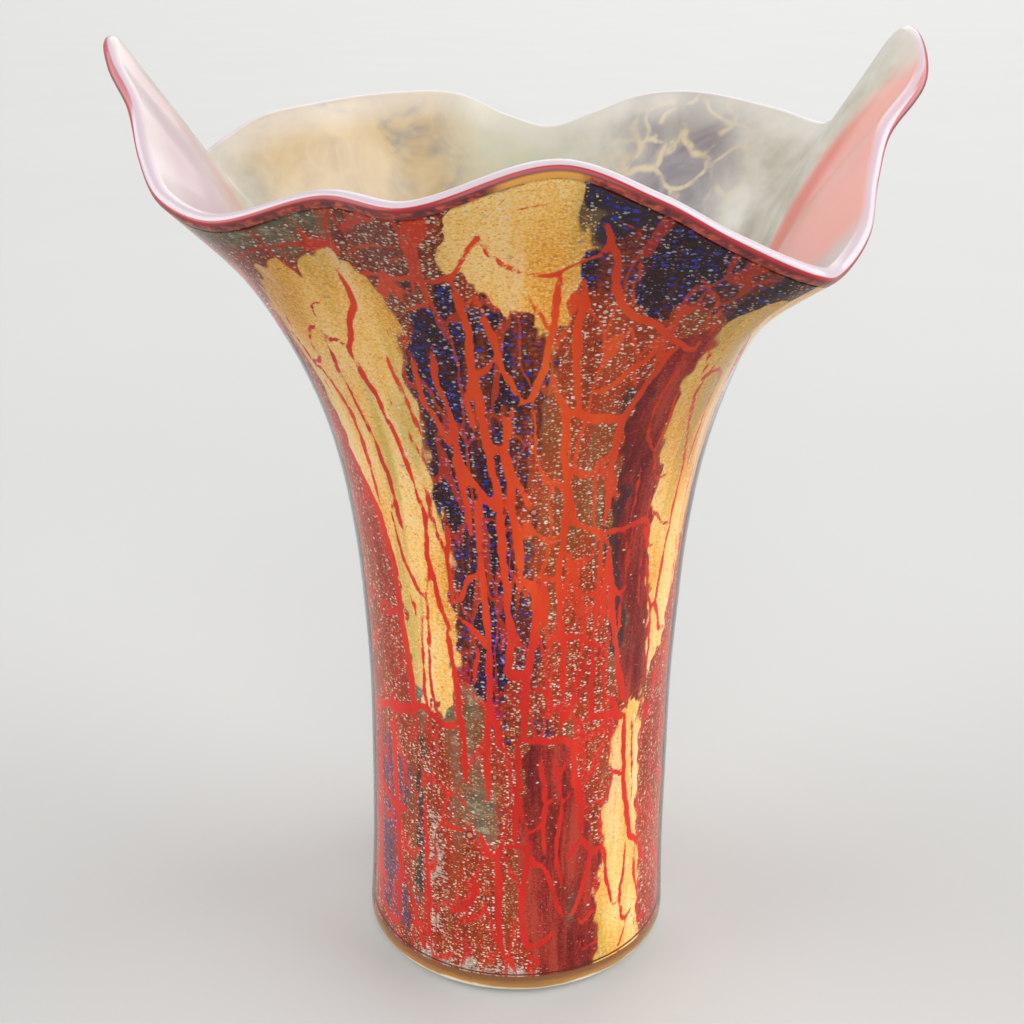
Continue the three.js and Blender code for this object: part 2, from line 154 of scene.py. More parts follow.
# The colours of the shard layer, each as patches of rows (height, left azimuth, right azimuth). The layer is
# unrolled from azimuth SEAM to SEAM + 360. Where no patch lies, silver leaf lies on the red ground.
SEAM = 190
FOOT, TOP = -20, 270
PATCHES = {
    "gold": (
        ((100, 236, 241), (108, 229, 246), (112, 227.5, 246.5), (120, 226.5, 248), (130, 225, 247.5),
         (140, 224, 246.5), (150, 222, 246.5), (160, 219.5, 246.8), (170, 216, 245), (180, 213, 244.2),
         (190, 212, 244), (200, 211, 243.5), (210, 211, 243), (220, 211, 245), (226, 212, 243.5),
         (232, 216, 240), (237, 222, 236)),
        ((211, 274.5, 276.5), (216.5, 273.5, 277.5), (222.5, 270.5, 278.5), (227, 266, 279.5),
         (232, 261.3, 281),
         (235, 259, 282.5), (238, 257.6, 283.4), (242.5, 258, 283), (245, 260.5, 281.5), (247, 264, 279.5),
         (249, 266.5, 278.5), (TOP, 268, 278)),
        ((110, 323, 324.5), (114, 322, 331), (120, 321.3, 334), (130, 319.5, 336), (140, 316.5, 339),
         (150, 315, 341), (160, 314.2, 343), (170, 314, 346), (180, 312.5, 348), (190, 309.5, 350),
         (200, 308.8, 352), (210, 308, 352), (220, 307.8, 350), (230, 307.5, 345), (238, 307.5, 340),
         (243, 308, 330)),
        ((FOOT, 301, 324), (20, 301.5, 324.5), (30, 300.5, 323.5), (45, 302.5, 323.5), (50, 304, 322),
         (60, 303, 321), (70, 304.5, 319.8), (80, 305.5, 320), (90, 306, 320), (100, 309.5, 320)),
        ((FOOT, 387, 412), (25, 385, 417), (60, 388, 415), (90, 386, 409), (112, 392, 404), (118, 396, 400)),
        ((118, 474, 480), (126, 468, 482), (136, 463, 484), (146, 461, 492), (158, 457, 496), (170, 459, 495),
         (182, 463, 493), (194, 461, 489), (206, 456, 491), (216, 457, 498), (226, 460, 500), (233, 464, 499),
         (239, 478, 497), (245, 484, 494), (TOP, 486, 493)),
    ),
    "cobalt": (
        ((92, 262.5, 266.5), (100, 261, 267), (108, 259.5, 265.5), (112, 247.5, 265), (120, 247.5, 264.5),
         (130, 247.5, 266), (140, 247.8, 267.5), (150, 247.5, 268), (160, 246.5, 268.5), (170, 245.5, 270.5),
         (180, 243.8, 272.5), (190, 244, 274), (200, 244, 276), (210, 243, 277.5), (216, 246, 277),
         (222, 248, 271), (229, 251, 264)),
        ((227, 284, 286), (230, 281.5, 304), (234, 282, 306), (238, 283.5, 312), (242, 279, 325),
         (249, 278.5, 340), (TOP, 278.5, 345)),
        ((112, 396, 402), (124, 391, 410), (150, 388, 415), (180, 392, 411), (215, 388, 414),
         (TOP, 385, 420)),
        ((FOOT, 460, 490), (20, 456, 495), (60, 458, 491), (90, 455, 488), (112, 461, 485), (124, 467, 478)),
    ),
    "dusk": (
        ((85, 269.5, 275), (92, 269.5, 276), (96, 271.5, 282), (110, 272, 280.5), (126, 266, 279),
         (135, 266, 275), (147, 266, 274.5), (152, 269.5, 276), (166, 270, 277), (172, 268, 276)),
    ),
    "umber": (
        ((218, 245, 249), (222, 244, 250), (228, 242, 259), (233, 239, 259), (238, 236, 259),
         (243, 235, 259), (249, 233, 265), (TOP, 233, 267)),
    ),
    "maroon": (
        ((98, 315, 320), (101, 311, 320), (106, 309.5, 321), (112, 307, 321), (120, 305, 320.8),
         (130, 302.5, 319.5), (140, 300.5, 316.5), (150, 299.7, 315), (160, 299, 314.5), (170, 298, 313.8),
         (180, 297, 311.5), (190, 296.5, 308), (200, 296.5, 308), (210, 298, 308), (218, 300, 307.5),
         (226, 303, 307)),
        ((FOOT, 277, 301.5), (10, 277, 302), (20, 273, 301.5), (30, 271.5, 300.5), (40, 271.3, 300.5),
         (50, 269.5, 303), (56, 270, 297), (65, 270.5, 294), (70, 270, 292.5), (80, 270, 290),
         (88, 271, 288.5), (93, 275.5, 288)),
        ((84, 430, 440), (96, 422, 450), (130, 419, 453), (160, 423, 450), (176, 426, 444), (182, 431, 438)),
        ((FOOT, 505, 541), (30, 501, 545), (60, 504, 542), (84, 500, 534), (94, 508, 524)),
        ((FOOT, 353, 376), (30, 352, 379), (70, 355, 375), (94, 358, 378), (104, 364, 374)),
    ),
    "green": (
        ((237, 190, 226), (240, 190, 237), (243, 190, 240), (TOP, 190, 243)),
        ((101, 228.5, 234), (111, 227, 234)),
        ((98, 240, 246.5), (104, 240, 246.5)),
        ((86, 249.5, 253), (108, 249, 253)),
        ((60, 252, 257), (74, 251, 256), (86, 251, 255)),
        ((176, 434, 440), (190, 424, 449), (215, 420, 453), (TOP, 424, 449)),
    ),
    "violet": (
        ((60, 201, 213.5), (83, 202, 213)),
        ((12, 200, 216), (57, 201, 216)),
        ((58, 216, 225), (76, 215, 222)),
        ((12, 217, 226), (32, 217, 224)),
    ),
    "dark": (
        ((30, 226, 231), (45, 227.5, 231.5), (60, 228, 231.8), (70, 227.5, 230), (86, 228.5, 232)),
        ((120, 304, 309), (150, 299.5, 303.5), (180, 296.5, 301), (205, 296, 299.5)),
        ((238, 279, 283), (243, 279, 290), (TOP, 279, 296)),
    ),
    "frost": (
        ((36, 235, 239.5), (44, 235, 239), (62, 235.5, 238)),
        ((FOOT, 229, 276), (8.5, 229, 276)),
        ((20, 235, 240), (26, 235, 240)),
    ),
    "orange": (
        ((140, 262, 290), (170, 258, 297), (200, 246, 304), (226, 244, 306), (240, 240, 306)),
    ),
}
EDGE_SOFTNESS = {
    "gold": 4, "cobalt": 5, "dusk": 7, "maroon": 3.5, "green": 9, "violet": 8, "dark": 6, "frost": 5,
    "orange": 24, "umber": 6,
}

# Red veins between the broken pieces of leaf: (width, ((azimuth, height), ...)), first the upper front.
VEINS = (
    (1.7, ((225.3, 220), (225, 215), (224.3, 208), (224.8, 202), (226, 192), (227, 184), (228.3, 176),
        (229, 168), (229.3, 164), (230.2, 160.5))),
    (1.1, ((225.3, 220), (225.5, 224), (227, 227.5), (229.5, 228))),
    (1.9, ((225.3, 219), (228, 218), (230, 216.5), (230.8, 213), (231.5, 208), (233, 202), (234.5, 194),
        (236, 187), (237.5, 180), (238.3, 174), (239.7, 169), (239.2, 163), (238.7, 156), (239.3, 150.5),
        (240.5, 146), (241.5, 141), (243, 136), (244.7, 132.3), (246.2, 131.5))),
    (2, ((236.3, 233.5), (236.8, 230), (236, 226), (234, 222.5), (232.5, 219), (231, 216))),
    (1.6, ((239.9, 213.5), (240.5, 209), (241.5, 203), (243, 196), (243.8, 192.5))),
    (1.4, ((241.5, 221.5), (242.5, 218), (243.2, 214))),
    (1.2, ((238.5, 196), (240, 191), (241.5, 187), (243, 184), (243.8, 181.5))),
    (0.7, ((237.8, 207), (237.2, 203), (236.5, 200))),
    (1.6, ((241.2, 177.5), (242, 173), (242.3, 168), (243.5, 163), (244.6, 159), (245.8, 156), (246.3, 150),
        (246.4, 144), (246.2, 139))),
    (1.6, ((246.8, 170), (247, 162), (246.6, 156))),
    (2.1, ((245.5, 218.5), (246, 212), (246, 206), (247, 201), (249, 197), (251, 192), (252.3, 189))),
    (2.3, ((252, 219), (251.5, 213), (251, 208), (252.3, 203), (253, 197), (252.8, 191), (252.5, 186),
        (253.3, 180), (254, 174), (254.2, 169), (254.6, 164))),
    (0.9, ((248.5, 226.5), (247.7, 223), (246.5, 219))),
    (2.6, ((258.5, 234), (259.4, 228), (259.9, 222), (259.6, 216), (259.6, 210), (260.8, 200), (261.3, 193),
        (262, 186), (263, 178), (263.6, 171), (263.8, 163), (264.2, 157), (264.8, 151), (265.3, 146),
        (265, 140), (266, 135), (266.5, 131), (266, 127), (265.5, 122), (266, 117))),
    (1.8, ((259.4, 210), (257.8, 205), (257.8, 201), (258, 197.5), (259.5, 195.5))),
    (2.6, ((253, 189.5), (254.3, 184.5), (255.5, 181), (257.5, 178.5), (260, 175.5), (262, 173),
        (264, 172))),
    (2.2, ((257.3, 178), (257.7, 172), (257, 163), (257, 157), (257.2, 151), (257.5, 146), (258, 141),
        (258.5, 135), (258.8, 128), (258.7, 120), (258.8, 113), (259, 107), (260.5, 101), (261.5, 97),
        (262.5, 93), (264, 90.5))),
    (2, ((262.3, 228), (263.3, 224.5), (264.5, 220), (266, 213), (267.5, 209), (269, 205.5),
        (270.5, 202.5))),
    (2, ((260, 210.5), (262, 211.3), (264.3, 214.3))),
    (2.5, ((261.3, 193), (264, 190.5), (265.5, 189.5), (266.5, 184), (267.3, 178), (267, 172), (268, 167),
        (269, 161), (269.2, 156), (269.4, 151))),
    (1.7, ((265.7, 202), (265.9, 196), (265.8, 190))),
    (1.6, ((239, 233.8), (243, 233.3), (248, 233), (251, 234.5), (254, 233.8), (258, 234), (260, 235),
        (262, 238.3), (264, 240.3), (264.8, 238.5), (265, 236.5), (266.5, 234.5), (269, 232.5), (271, 231))),
    (0.9, ((264, 240.3), (262.5, 242.5), (261, 245))),
    (0.6, ((264.2, 241), (268, 242.5), (272, 242.5), (276, 243), (280, 243))),
    (0.5, ((263.5, 241.5), (266, 243.5), (269, 245.5))),
    (1.2, ((248, 226.5), (250.5, 227), (252.5, 228), (254.5, 227))),
    (0.8, ((252.5, 228), (253, 231), (254.5, 233.5))),
    (0.8, ((248, 229.5), (250, 231.5), (252, 233.8))),
    (0.9, ((236.5, 234), (240, 237), (244, 239), (250, 240.5), (256, 241.5))),
    (0.7, ((238, 241), (243, 243), (248, 245.5), (254, 246.5))),
    (0.8, ((245, 235), (249, 237.5), (254, 238.5))),
    (1, ((215, 238), (220, 240), (225, 241.5), (232, 241), (237, 240), (240, 239))),
    (1.2, ((271, 231), (274, 230.5), (276.5, 230.5), (279, 232), (281, 234), (283.2, 236), (284, 238.5))),
    (2, ((277.5, 230.5), (277, 226.5), (276.8, 222), (275.8, 217), (275.3, 212), (274, 207), (272.5, 203.5),
        (271, 203))),
    (1.2, ((271, 227), (272.5, 225), (274.3, 222), (275.3, 219.5))),
    (2.6, ((281, 229.5), (281.8, 226), (281.5, 220), (281.8, 214), (282.8, 207), (283.5, 200.5))),
    (2.4, ((282.5, 241.5), (284, 239.5), (284.3, 238), (286, 236), (286.5, 232), (288, 228.5), (290, 226.5),
        (293, 225.5), (297, 224.5), (300, 222.5), (303, 221), (305.3, 221.5))),
    (0.9, ((284.3, 243.5), (287, 242), (290, 241), (294, 241.5))),
    (1.2, ((289.5, 238.5), (290, 235), (290, 231.5), (291, 228))),
    (1.3, ((297.5, 239.5), (300, 237.5), (303, 235), (305, 232), (305.5, 227), (305, 222))),
    (0.8, ((301.5, 243), (304, 240))),
    (1.9, ((286.5, 205.5), (289, 206.5), (291.5, 209), (294, 213), (297, 216.5), (299.3, 221))),
    (2.2, ((301.5, 221), (300.5, 218), (299.5, 213), (297.8, 207), (296.5, 203), (295.3, 199), (295, 193),
        (295, 186), (295.3, 179), (295.5, 172), (295.4, 164))),
    (3.6, ((280.5, 199.5), (284, 199.5), (288, 198.6), (292, 198.6), (295, 198.5))),
    (2.2, ((280.5, 203), (281, 197), (281, 190), (282, 184), (283.5, 177), (285, 171), (286, 167.5))),
    (1.2, ((273.3, 200), (273.5, 192), (273.3, 184))),
    (1.8, ((266.5, 190), (267, 185), (269, 181), (270.5, 177), (272, 174), (274, 172))),
    (2, ((268.3, 202), (266.8, 196), (266.2, 190))),
    (1.2, ((274, 183), (277, 183), (280, 184))),
    (1.3, ((305, 220), (304.3, 214), (303.3, 207), (303, 200), (303.5, 194), (305.5, 190.5), (308, 187.5),
        (309.5, 183), (310.5, 179.5))),
    (1.6, ((307.5, 226), (308.8, 221), (309.8, 217.5), (311.5, 213.5), (312.8, 210.5), (313, 207),
        (315, 202.5), (317, 198), (319, 193), (320.5, 190))),
    (1, ((308, 236), (310, 228), (312, 222), (313.5, 216), (313, 211))),
    (0.6, ((308.2, 240.5), (311, 235), (315, 231), (320, 222), (325, 212), (330, 208), (340, 202))),
    (1.6, ((313, 213.5), (315, 214), (317.5, 213.5), (320, 211), (322, 207), (324, 201), (326.3, 194.5),
        (327.8, 190), (328.5, 184), (329, 177))),
    (1.5, ((321.5, 213), (323.5, 211), (325.5, 209.5))),
    (1.2, ((306.5, 209), (307.5, 204), (308.5, 199), (308.5, 192), (308, 188))),
    (1.5, ((310.3, 180), (312.5, 178.5), (315, 178), (317.5, 178))),
    (0.6, ((318, 181), (318.8, 185))),
    (1.4, ((316, 199), (318.5, 194), (320.5, 190), (323, 184), (325, 179), (325.8, 173), (325.9, 164),
        (326, 158), (325.3, 152), (324.8, 146), (324.2, 141), (323.8, 136), (324, 132), (325.5, 129),
        (327, 125), (328.5, 122), (331, 121), (333, 120.5))),
    (0.9, ((304.6, 183), (305, 177), (305.2, 171), (304.6, 164))),
    (1, ((310.5, 179), (311.3, 172), (311.5, 166), (311.5, 160), (311.8, 154), (312.5, 147), (312.8, 140),
        (313.2, 134))),
    (0.8, ((328, 190), (331, 189))),
    (1.1, ((335, 178), (337, 172), (335.5, 163), (335, 158))),
    (1, ((333.5, 153), (335, 149), (336.5, 145), (337, 139), (336.5, 134))),
    (1.2, ((215.5, 230), (215.7, 224), (214.5, 219.5), (213.3, 215))),
    (2, ((211, 218.5), (213.5, 213.5), (215, 209.5), (217, 207.5), (219, 203), (220.3, 197), (221, 190),
        (220.8, 182), (220.6, 174), (220.8, 167))),
    (1.2, ((215, 210), (217.5, 210.5), (219.3, 212), (219.5, 216), (221, 219), (223, 221.5), (225, 219.5))),
    (1, ((213.5, 209), (214.5, 204), (215, 199.5))),
    (3, ((205, 190), (207, 186), (209.5, 182), (212, 177), (215, 171), (218, 166), (220, 160), (221.5, 154),
        (223, 148), (223.5, 141), (223.5, 134), (224.2, 126), (225.5, 118), (226.5, 110), (227, 103),
        (228.5, 98))),
    # the middle of the front
    (4.4, ((207, 93), (214, 95), (218, 95.5), (222, 96.5), (226, 98), (229, 101))),
    (2.6, ((213, 128), (219, 130), (223, 133))),
    (1.7, ((226.3, 161), (227, 156), (228.5, 150.5), (230.5, 146.5), (233, 142.5), (235.5, 140))),
    (1, ((226.5, 161), (226.2, 165), (227, 168.5), (228.7, 169))),
    (1.4, ((224.8, 143), (226, 140))),
    (1.3, ((229.5, 139), (231, 135.5), (231.5, 132.5))),
    (1.4, ((236, 141), (236.6, 136), (236.4, 128), (236.2, 120), (236.2, 112), (236.5, 107), (237.5, 102.5),
        (239, 99))),
    (0.7, ((236.5, 141), (238.2, 147), (238.7, 152))),
    (1.3, ((234.3, 135), (233.8, 128), (233.4, 120), (233.2, 113), (233, 108), (233.5, 103), (235, 100))),
    (2.2, ((244.5, 131), (244.5, 127), (245, 122), (246, 117), (246.5, 112), (247, 106), (247.5, 101),
        (248.7, 96), (249.5, 90), (249.5, 84), (249.8, 78))),
    (2.8, ((229, 100.5), (234, 100), (238.5, 98), (241, 97), (244, 97), (246.5, 98.5))),
    (1.8, ((247.5, 136), (251, 134), (253, 133), (255, 131), (256.5, 128.5), (258, 126.5))),
    (1.4, ((253.5, 129), (254.5, 124), (254, 118), (253.3, 113))),
    (2, ((259, 108), (258.5, 103), (258, 98), (258, 93), (257.5, 86), (258, 80), (258.5, 72))),
    (4, ((264.7, 120), (267.5, 117.5), (271, 117.5))),
    (1.9, ((257, 152), (255, 150.5), (253, 149.5), (251.5, 146), (250, 143), (248.3, 141))),
    (2.8, ((269.4, 151), (271, 149.5), (273, 147.5), (274.5, 143), (275, 139), (274.6, 134), (273.5, 128),
        (272.3, 122), (271.6, 115), (271.2, 108), (271, 100), (271.3, 95))),
    (1.5, ((268.5, 168), (269.5, 164.5), (271.5, 167), (273, 170))),
    (2.1, ((282.8, 176), (282.5, 170), (282.4, 163), (282, 158), (281.7, 152), (282.1, 144), (282.5, 137),
        (282.9, 130), (284, 127), (284.3, 119), (284.5, 111), (284.6, 103), (284, 97))),
    (1.3, ((283.7, 155), (284.5, 147), (285.2, 141), (286, 132))),
    (1.6, ((284.5, 158), (286.5, 152), (288, 147), (289, 143), (288.8, 137), (288.5, 131))),
    (1.8, ((287, 146), (290, 143.5), (294, 143), (295.3, 142))),
    (1.7, ((295.2, 164), (295.3, 155), (295.2, 148), (295.2, 140), (295, 133), (294.8, 127))),
    (1.8, ((297.8, 157), (298, 150), (297.8, 143), (297.8, 136), (297.3, 129))),
    (2.5, ((275.5, 152), (277.2, 145), (277.3, 139), (277.6, 134))),
    (1.5, ((275.5, 152), (277.5, 150.5), (280, 150), (281.5, 152))),
    (2.5, ((279.5, 129.8), (283, 129.5), (287, 130), (290, 129.5), (293, 127.5), (296, 125.5),
        (299, 123.5))),
    (1.6, ((293, 122), (291, 117), (289.5, 112), (288.5, 107), (287, 102))),
    (2.3, ((295.3, 124), (295.2, 115), (295.2, 108), (295.5, 101), (294.5, 98))),
    (1.6, ((298.3, 122), (299.5, 117), (300.5, 112), (301, 105), (300.5, 99))),
    (2.6, ((270, 95.5), (273, 94.3), (277, 94.5), (280, 93.8), (285, 93.8), (288, 92), (289.5, 88),
        (290, 79), (291.5, 74), (293, 69), (293, 63), (293.3, 58))),
    (1.2, ((291.5, 98), (292.5, 93), (292, 88))),
    (3.2, ((293, 99), (297, 100), (301, 99.5), (305, 99.5), (308, 97.5), (310.8, 96.5))),
    (2.2, ((302, 107), (304.5, 103.5), (307.5, 99.5))),
    (1.2, ((279.5, 128), (279.8, 121), (280, 114), (280, 106), (281, 99))),
    (2.1, ((283, 168.5), (286, 167.5), (290, 165.5), (294, 163.5), (298, 163), (303, 163.5), (308, 164.3),
        (312.5, 163.5), (313.5, 158), (314.5, 154))),
    (1.2, ((303, 163), (304.5, 158), (305.5, 152), (306.2, 146))),
    (0.8, ((306.3, 163), (307, 157), (307.5, 151))),
    (1.8, ((298.3, 158), (299, 153), (300.3, 147), (302, 143.5), (304.5, 141.5), (306.5, 143))),
    (1.4, ((304.8, 141), (304.9, 136), (305.2, 131), (304.8, 128))),
    (2.3, ((300, 148), (301.3, 141), (301.8, 135), (303, 129), (304.3, 123), (305.5, 117), (307, 111),
        (309, 106), (310.5, 102))),
    (1.3, ((313.8, 166.5), (316, 165), (318, 163), (320.5, 161), (323.5, 159.5), (325, 159))),
    (1.5, ((315, 151), (316.5, 145), (317.5, 139.5), (319, 135), (320.8, 132), (322.5, 132.5), (324, 133))),
    (1.4, ((320.8, 132), (321.2, 127), (321.4, 122), (321.5, 117), (321.7, 110))),
    (0.9, ((314.5, 154), (317, 154.5))),
    # the foot of the front
    (2.4, ((310.8, 97), (311.3, 90), (311.5, 83), (311.8, 77), (312, 72), (312.8, 67), (314.5, 61),
        (315.8, 55), (316.8, 50.5), (319, 48), (321, 46), (323, 46.5), (324.5, 46.5))),
    (1.8, ((305.5, 78.5), (307.5, 77), (310, 75.5), (311.5, 75.5))),
    (1, ((315, 96), (315.8, 89), (316.2, 83), (316.6, 78), (316.9, 70), (317, 63))),
    (1.6, ((320.8, 45), (320.8, 39), (321, 33), (322, 28.5), (323.8, 25), (324.5, 20))),
    (1.6, ((299, 50), (301, 51), (303.2, 49.5), (304.5, 44), (305.2, 38), (306.5, 34), (307.5, 30),
        (308.8, 26))),
    (1.4, ((314.9, 48), (314.8, 44), (314.2, 39), (313.8, 34), (312.5, 31), (312.8, 27), (313.5, 23),
        (314.2, 19), (315.8, 17.5), (318, 18.5), (319.5, 19.5))),
    (1.1, ((316.3, 17), (315, 13), (313, 9.5), (311.5, 8))),
    (1.1, ((320.8, 17), (321.5, 13), (322.2, 9))),
    (0.6, ((309, 50.5), (310.5, 50), (312, 51))),
    (0.8, ((308, 13), (308.3, 17.5))),
    (0.8, ((310, 26), (312, 26.5))),
    (2.2, ((268.8, 95), (268.9, 90), (269, 84), (269.2, 78), (268.5, 72), (268, 66), (268, 60),
        (268.5, 57))),
    (1.9, ((262, 57), (266, 56), (269, 56), (272, 54.5), (273.5, 52), (275.5, 49.5), (277.5, 48.5),
        (279.5, 47), (281, 43), (282.5, 39), (284, 34), (285.5, 30), (287, 27.5))),
    (1.2, ((270.5, 73), (271, 68), (272, 63.5), (274, 61.5), (276.5, 63), (278, 66))),
    (1.2, ((272.3, 63), (272.8, 58), (273.3, 53))),
    (1.8, ((276.8, 93), (277, 87), (277.5, 82), (278.5, 77), (278.8, 71), (278.7, 64), (279, 57),
        (279.2, 50))),
    (1.5, ((278.7, 72), (280.5, 72), (282, 73))),
    (1.6, ((281.5, 91), (282.5, 85), (283.5, 81), (284.3, 76), (285.3, 71.5), (285, 66), (284, 60),
        (283.7, 54), (284.5, 48), (285.5, 43), (286.5, 39.5))),
    (1.4, ((286, 89), (286.2, 84), (284.3, 81))),
    (1.2, ((285.3, 71.5), (287.5, 72.5), (288.7, 74.5))),
    (1.9, ((288, 49), (290, 52), (292, 55), (294, 56), (296, 53), (297.8, 50), (300, 49.5), (297.8, 49.5),
        (297, 45), (295.5, 40), (294, 36), (292.5, 31), (290.5, 28.5), (289, 28.5))),
    (1.4, ((295.5, 38), (296, 33), (296.5, 30))),
    (1.6, ((292.5, 26), (294.5, 24), (297, 25), (299.5, 27), (301.5, 26))),
    (2, ((272.5, 53), (272.5, 47), (271.8, 41), (271, 36), (271, 30), (271.5, 25), (272.5, 20), (274, 18),
        (277, 18), (280, 19.5), (283, 22.5))),
    (1.9, ((273.5, 16), (275, 13), (277.5, 11), (276.5, 9.5))),
    (1.3, ((294.3, 17), (294.5, 13.5), (297, 13.5), (300, 14.5), (302, 14))),
    (2.6, ((262, 55), (262, 48), (262.7, 40), (262.5, 34), (262.8, 27), (263.5, 20), (265, 14))),
    (1.8, ((232.2, 67), (232.3, 58), (233.3, 50), (232.5, 43), (233.2, 36), (234.3, 30), (234.2, 23),
        (234.8, 16), (236.5, 10.5))),
    (2, ((227, 18), (229.5, 15), (231, 12), (233, 8.5))),
    (2.2, ((240.5, 62), (244, 60), (249, 60))),
    (2.2, ((254, 60), (257, 55), (259, 52), (262, 52))),
    (2, ((252, 42), (254, 39), (251.5, 33), (247, 29), (243, 28))),
    (3.2, ((214.3, 93), (214, 82), (214.3, 74), (215, 66), (216, 59), (216.5, 52), (216.5, 45), (217.5, 38),
        (218.5, 33), (217, 27), (217, 20), (217.5, 14))),
    (3, ((201, 62), (204, 60), (208, 58.5), (212, 57.5), (216, 57), (220, 58.5), (222, 57))),
    (3, ((201.5, 92), (201.5, 80), (201, 70), (200.8, 60), (200.3, 50), (200.2, 40), (200.3, 30),
        (200.5, 20), (204, 14), (208, 12), (213, 11.5), (218, 12.5))),
    (3.6, ((199, 90), (204, 91), (208, 92))),
    (2, ((222, 31), (225, 27), (227.5, 22), (227, 18))),
    # the sides, under the ears
    (2.2, ((345, 8), (347, 30), (346, 60), (349, 92), (351, 120), (349, 150), (352, 182), (351, 210),
        (354, 240))),
    (1.8, ((360, 8), (358, 40), (361, 66), (359, 100), (362, 128), (359, 160), (361, 195), (359, 225),
        (361, 245))),
    (1.8, ((337, 66), (341, 62), (346, 60), (353, 66), (361, 66), (368, 62), (375, 65))),
    (2, ((338, 108), (344, 104), (350, 106), (359, 100), (366, 105), (374, 101))),
    (1.6, ((343, 146), (349, 150), (355, 144), (361, 145), (368, 150), (376, 146))),
    (1.6, ((346, 192), (352, 188), (360, 195), (366, 190), (373, 194))),
    (1.8, ((354, 228), (360, 225), (366, 230), (373, 226))),
)
# The back has the front's veins, mirrored front to back: a vein at azimuth a is also at MIRROR - a.
MIRROR = 2 * TURN
# Air bubbles in the casing: (azimuth, height, radius).
BUBBLES = (
    (270.5, 186, 0.7), (273.4, 171.5, 0.9), (276.3, 198.4, 0.5), (276.9, 192, 0.5), (263.2, 225.5, 0.8),
    (251.3, 58.5, 1.1), (256.9, 35.5, 0.8), (245.5, 26.5, 0.7), (285.7, 217.7, 0.7), (260.5, 81, 0.8),
    (278.6, 33, 0.6), (279, 51.5, 0.6), (265.4, 53, 0.5),
)

# How the veins are drawn: points a knot, their width at the tips and all along, and how far they wander.
VEIN_STEPS = 12
VEIN_TIP = 0.5
VEIN_SPREAD = 0.92
VEIN_WOBBLE = 0.1
VEIN_PHASES = (3, 4)

# Waves that shift the edges of the patches: (waves a turn, waves a metre of height, millimetres, phase).
EDGE_WAVES = (
    (23, 31, 1.6, 0.4), (41, -57, 1.3, 2.1), (67, 83, 1.0, 4.0), (101, -139, 0.7, 1.2), (9, 122, 1.0, 5.1),
)
SIDE_SHARE = 0.5
RISE_PHASE = 1.7

# The cylinder that the crackle pattern is laid out on, squashed upwards so that it stretches on the wall.
FLOW_RADIUS = 55
FLOW_RISE = 0.35

# Distances past this one don't matter, and DEEP stands for a place far down inside.
FAR = 12.0
DEEP = -300.0

# What shows through the lining, as patches of rows (z, left azimuth, right azimuth), and how soft they are.
LINING_PATCHES = {
    "ochre": (((150, 101, 152), (300, 99, 160)),),
    "mint": (((150, 76, 101), (300, 78, 101)),),
    "mauve": (((190, 55, 45), (215, 42, 58), (235, 35, 64), (252, 33, 66), (268, 38, 62), (280, 50, 50)),),
    "blush": (((150, 318, 357), (236, 320, 357), (262, 327, 356), (280, 334, 355), (300, 338, 351)),),
    "crease": (((120, 346, 357), (240, 351, 357), (268, 353.5, 356.5), (280, 355, 354)),),
    "stripe": (((150, 181, 187), (250, 181, 186), (262, 182, 184)),),
    "rose": (((150, 186, 212), (300, 180, 212)), ((150, 306, 322), (300, 308, 326))),
    "lobe": (((150, 267, 279), (300, 267, 279)),),
    "ear": (((150, 166, 198), (300, 166, 198)), ((150, 345, 375), (300, 345, 375)),
            ((150, -15, 15), (300, -15, 15))),
}
LINING_SOFTNESS = {
    "ochre": 9, "mint": 9, "mauve": 8, "blush": 2, "crease": 1.2, "stripe": 2, "rose": 6, "lobe": 1, "ear": 4,
}

# How much of the light the opal glass gives back, how clear the foot is, and the flat top of a speck.
OPAL_DEPTH = (0.77, 0.77, 0.77, 1.0)
FOOT_CLARITY = 0.28
SPECK_CORE = 0.55

# Studio, in metres and degrees.
FLOOR_HALF = 30.0
FLOOR_DROP = 0.1 * MM
EYE = (-0.0015, -0.423, 0.318)
EYE_PITCH = 21.6
LENS = 49.2
SENSOR = 36
NEAR = 0.01
# Wide soft lights far off: (name, heading, elevation, strength in watts a square metre).
SOFT_LIGHTS = (
    ("key", -4, 25, 2.7),
    ("front_fill", -87, 16, 1.72),
    ("left_fill", 184, 21, 2.15),
    ("back_fill", 80, 42, 1.0),
)
LIGHT_SPREAD = 55
WORLD_GREY = (0.7, 0.7, 0.7, 1.0)
WORLD_STRENGTH = 0.85

# Mesh density.
AROUND = 320
SHARD_STEP = 1.15
SLEEVE_ROWS = 110
HIDDEN_ROWS = 40
LIP_ARC_STEPS = 24
FLOOR_RINGS = 10
CORNER_STEPS = 8
FOOT_SIDE_STEPS = 3
LEAST_COLUMNS = 12
LEAST_ROWS = 8
COLUMN_MARGIN = 1.15
GROUND_UNDER_SHARES = (0.3, 0.7)
SHARP_ANGLE = 50


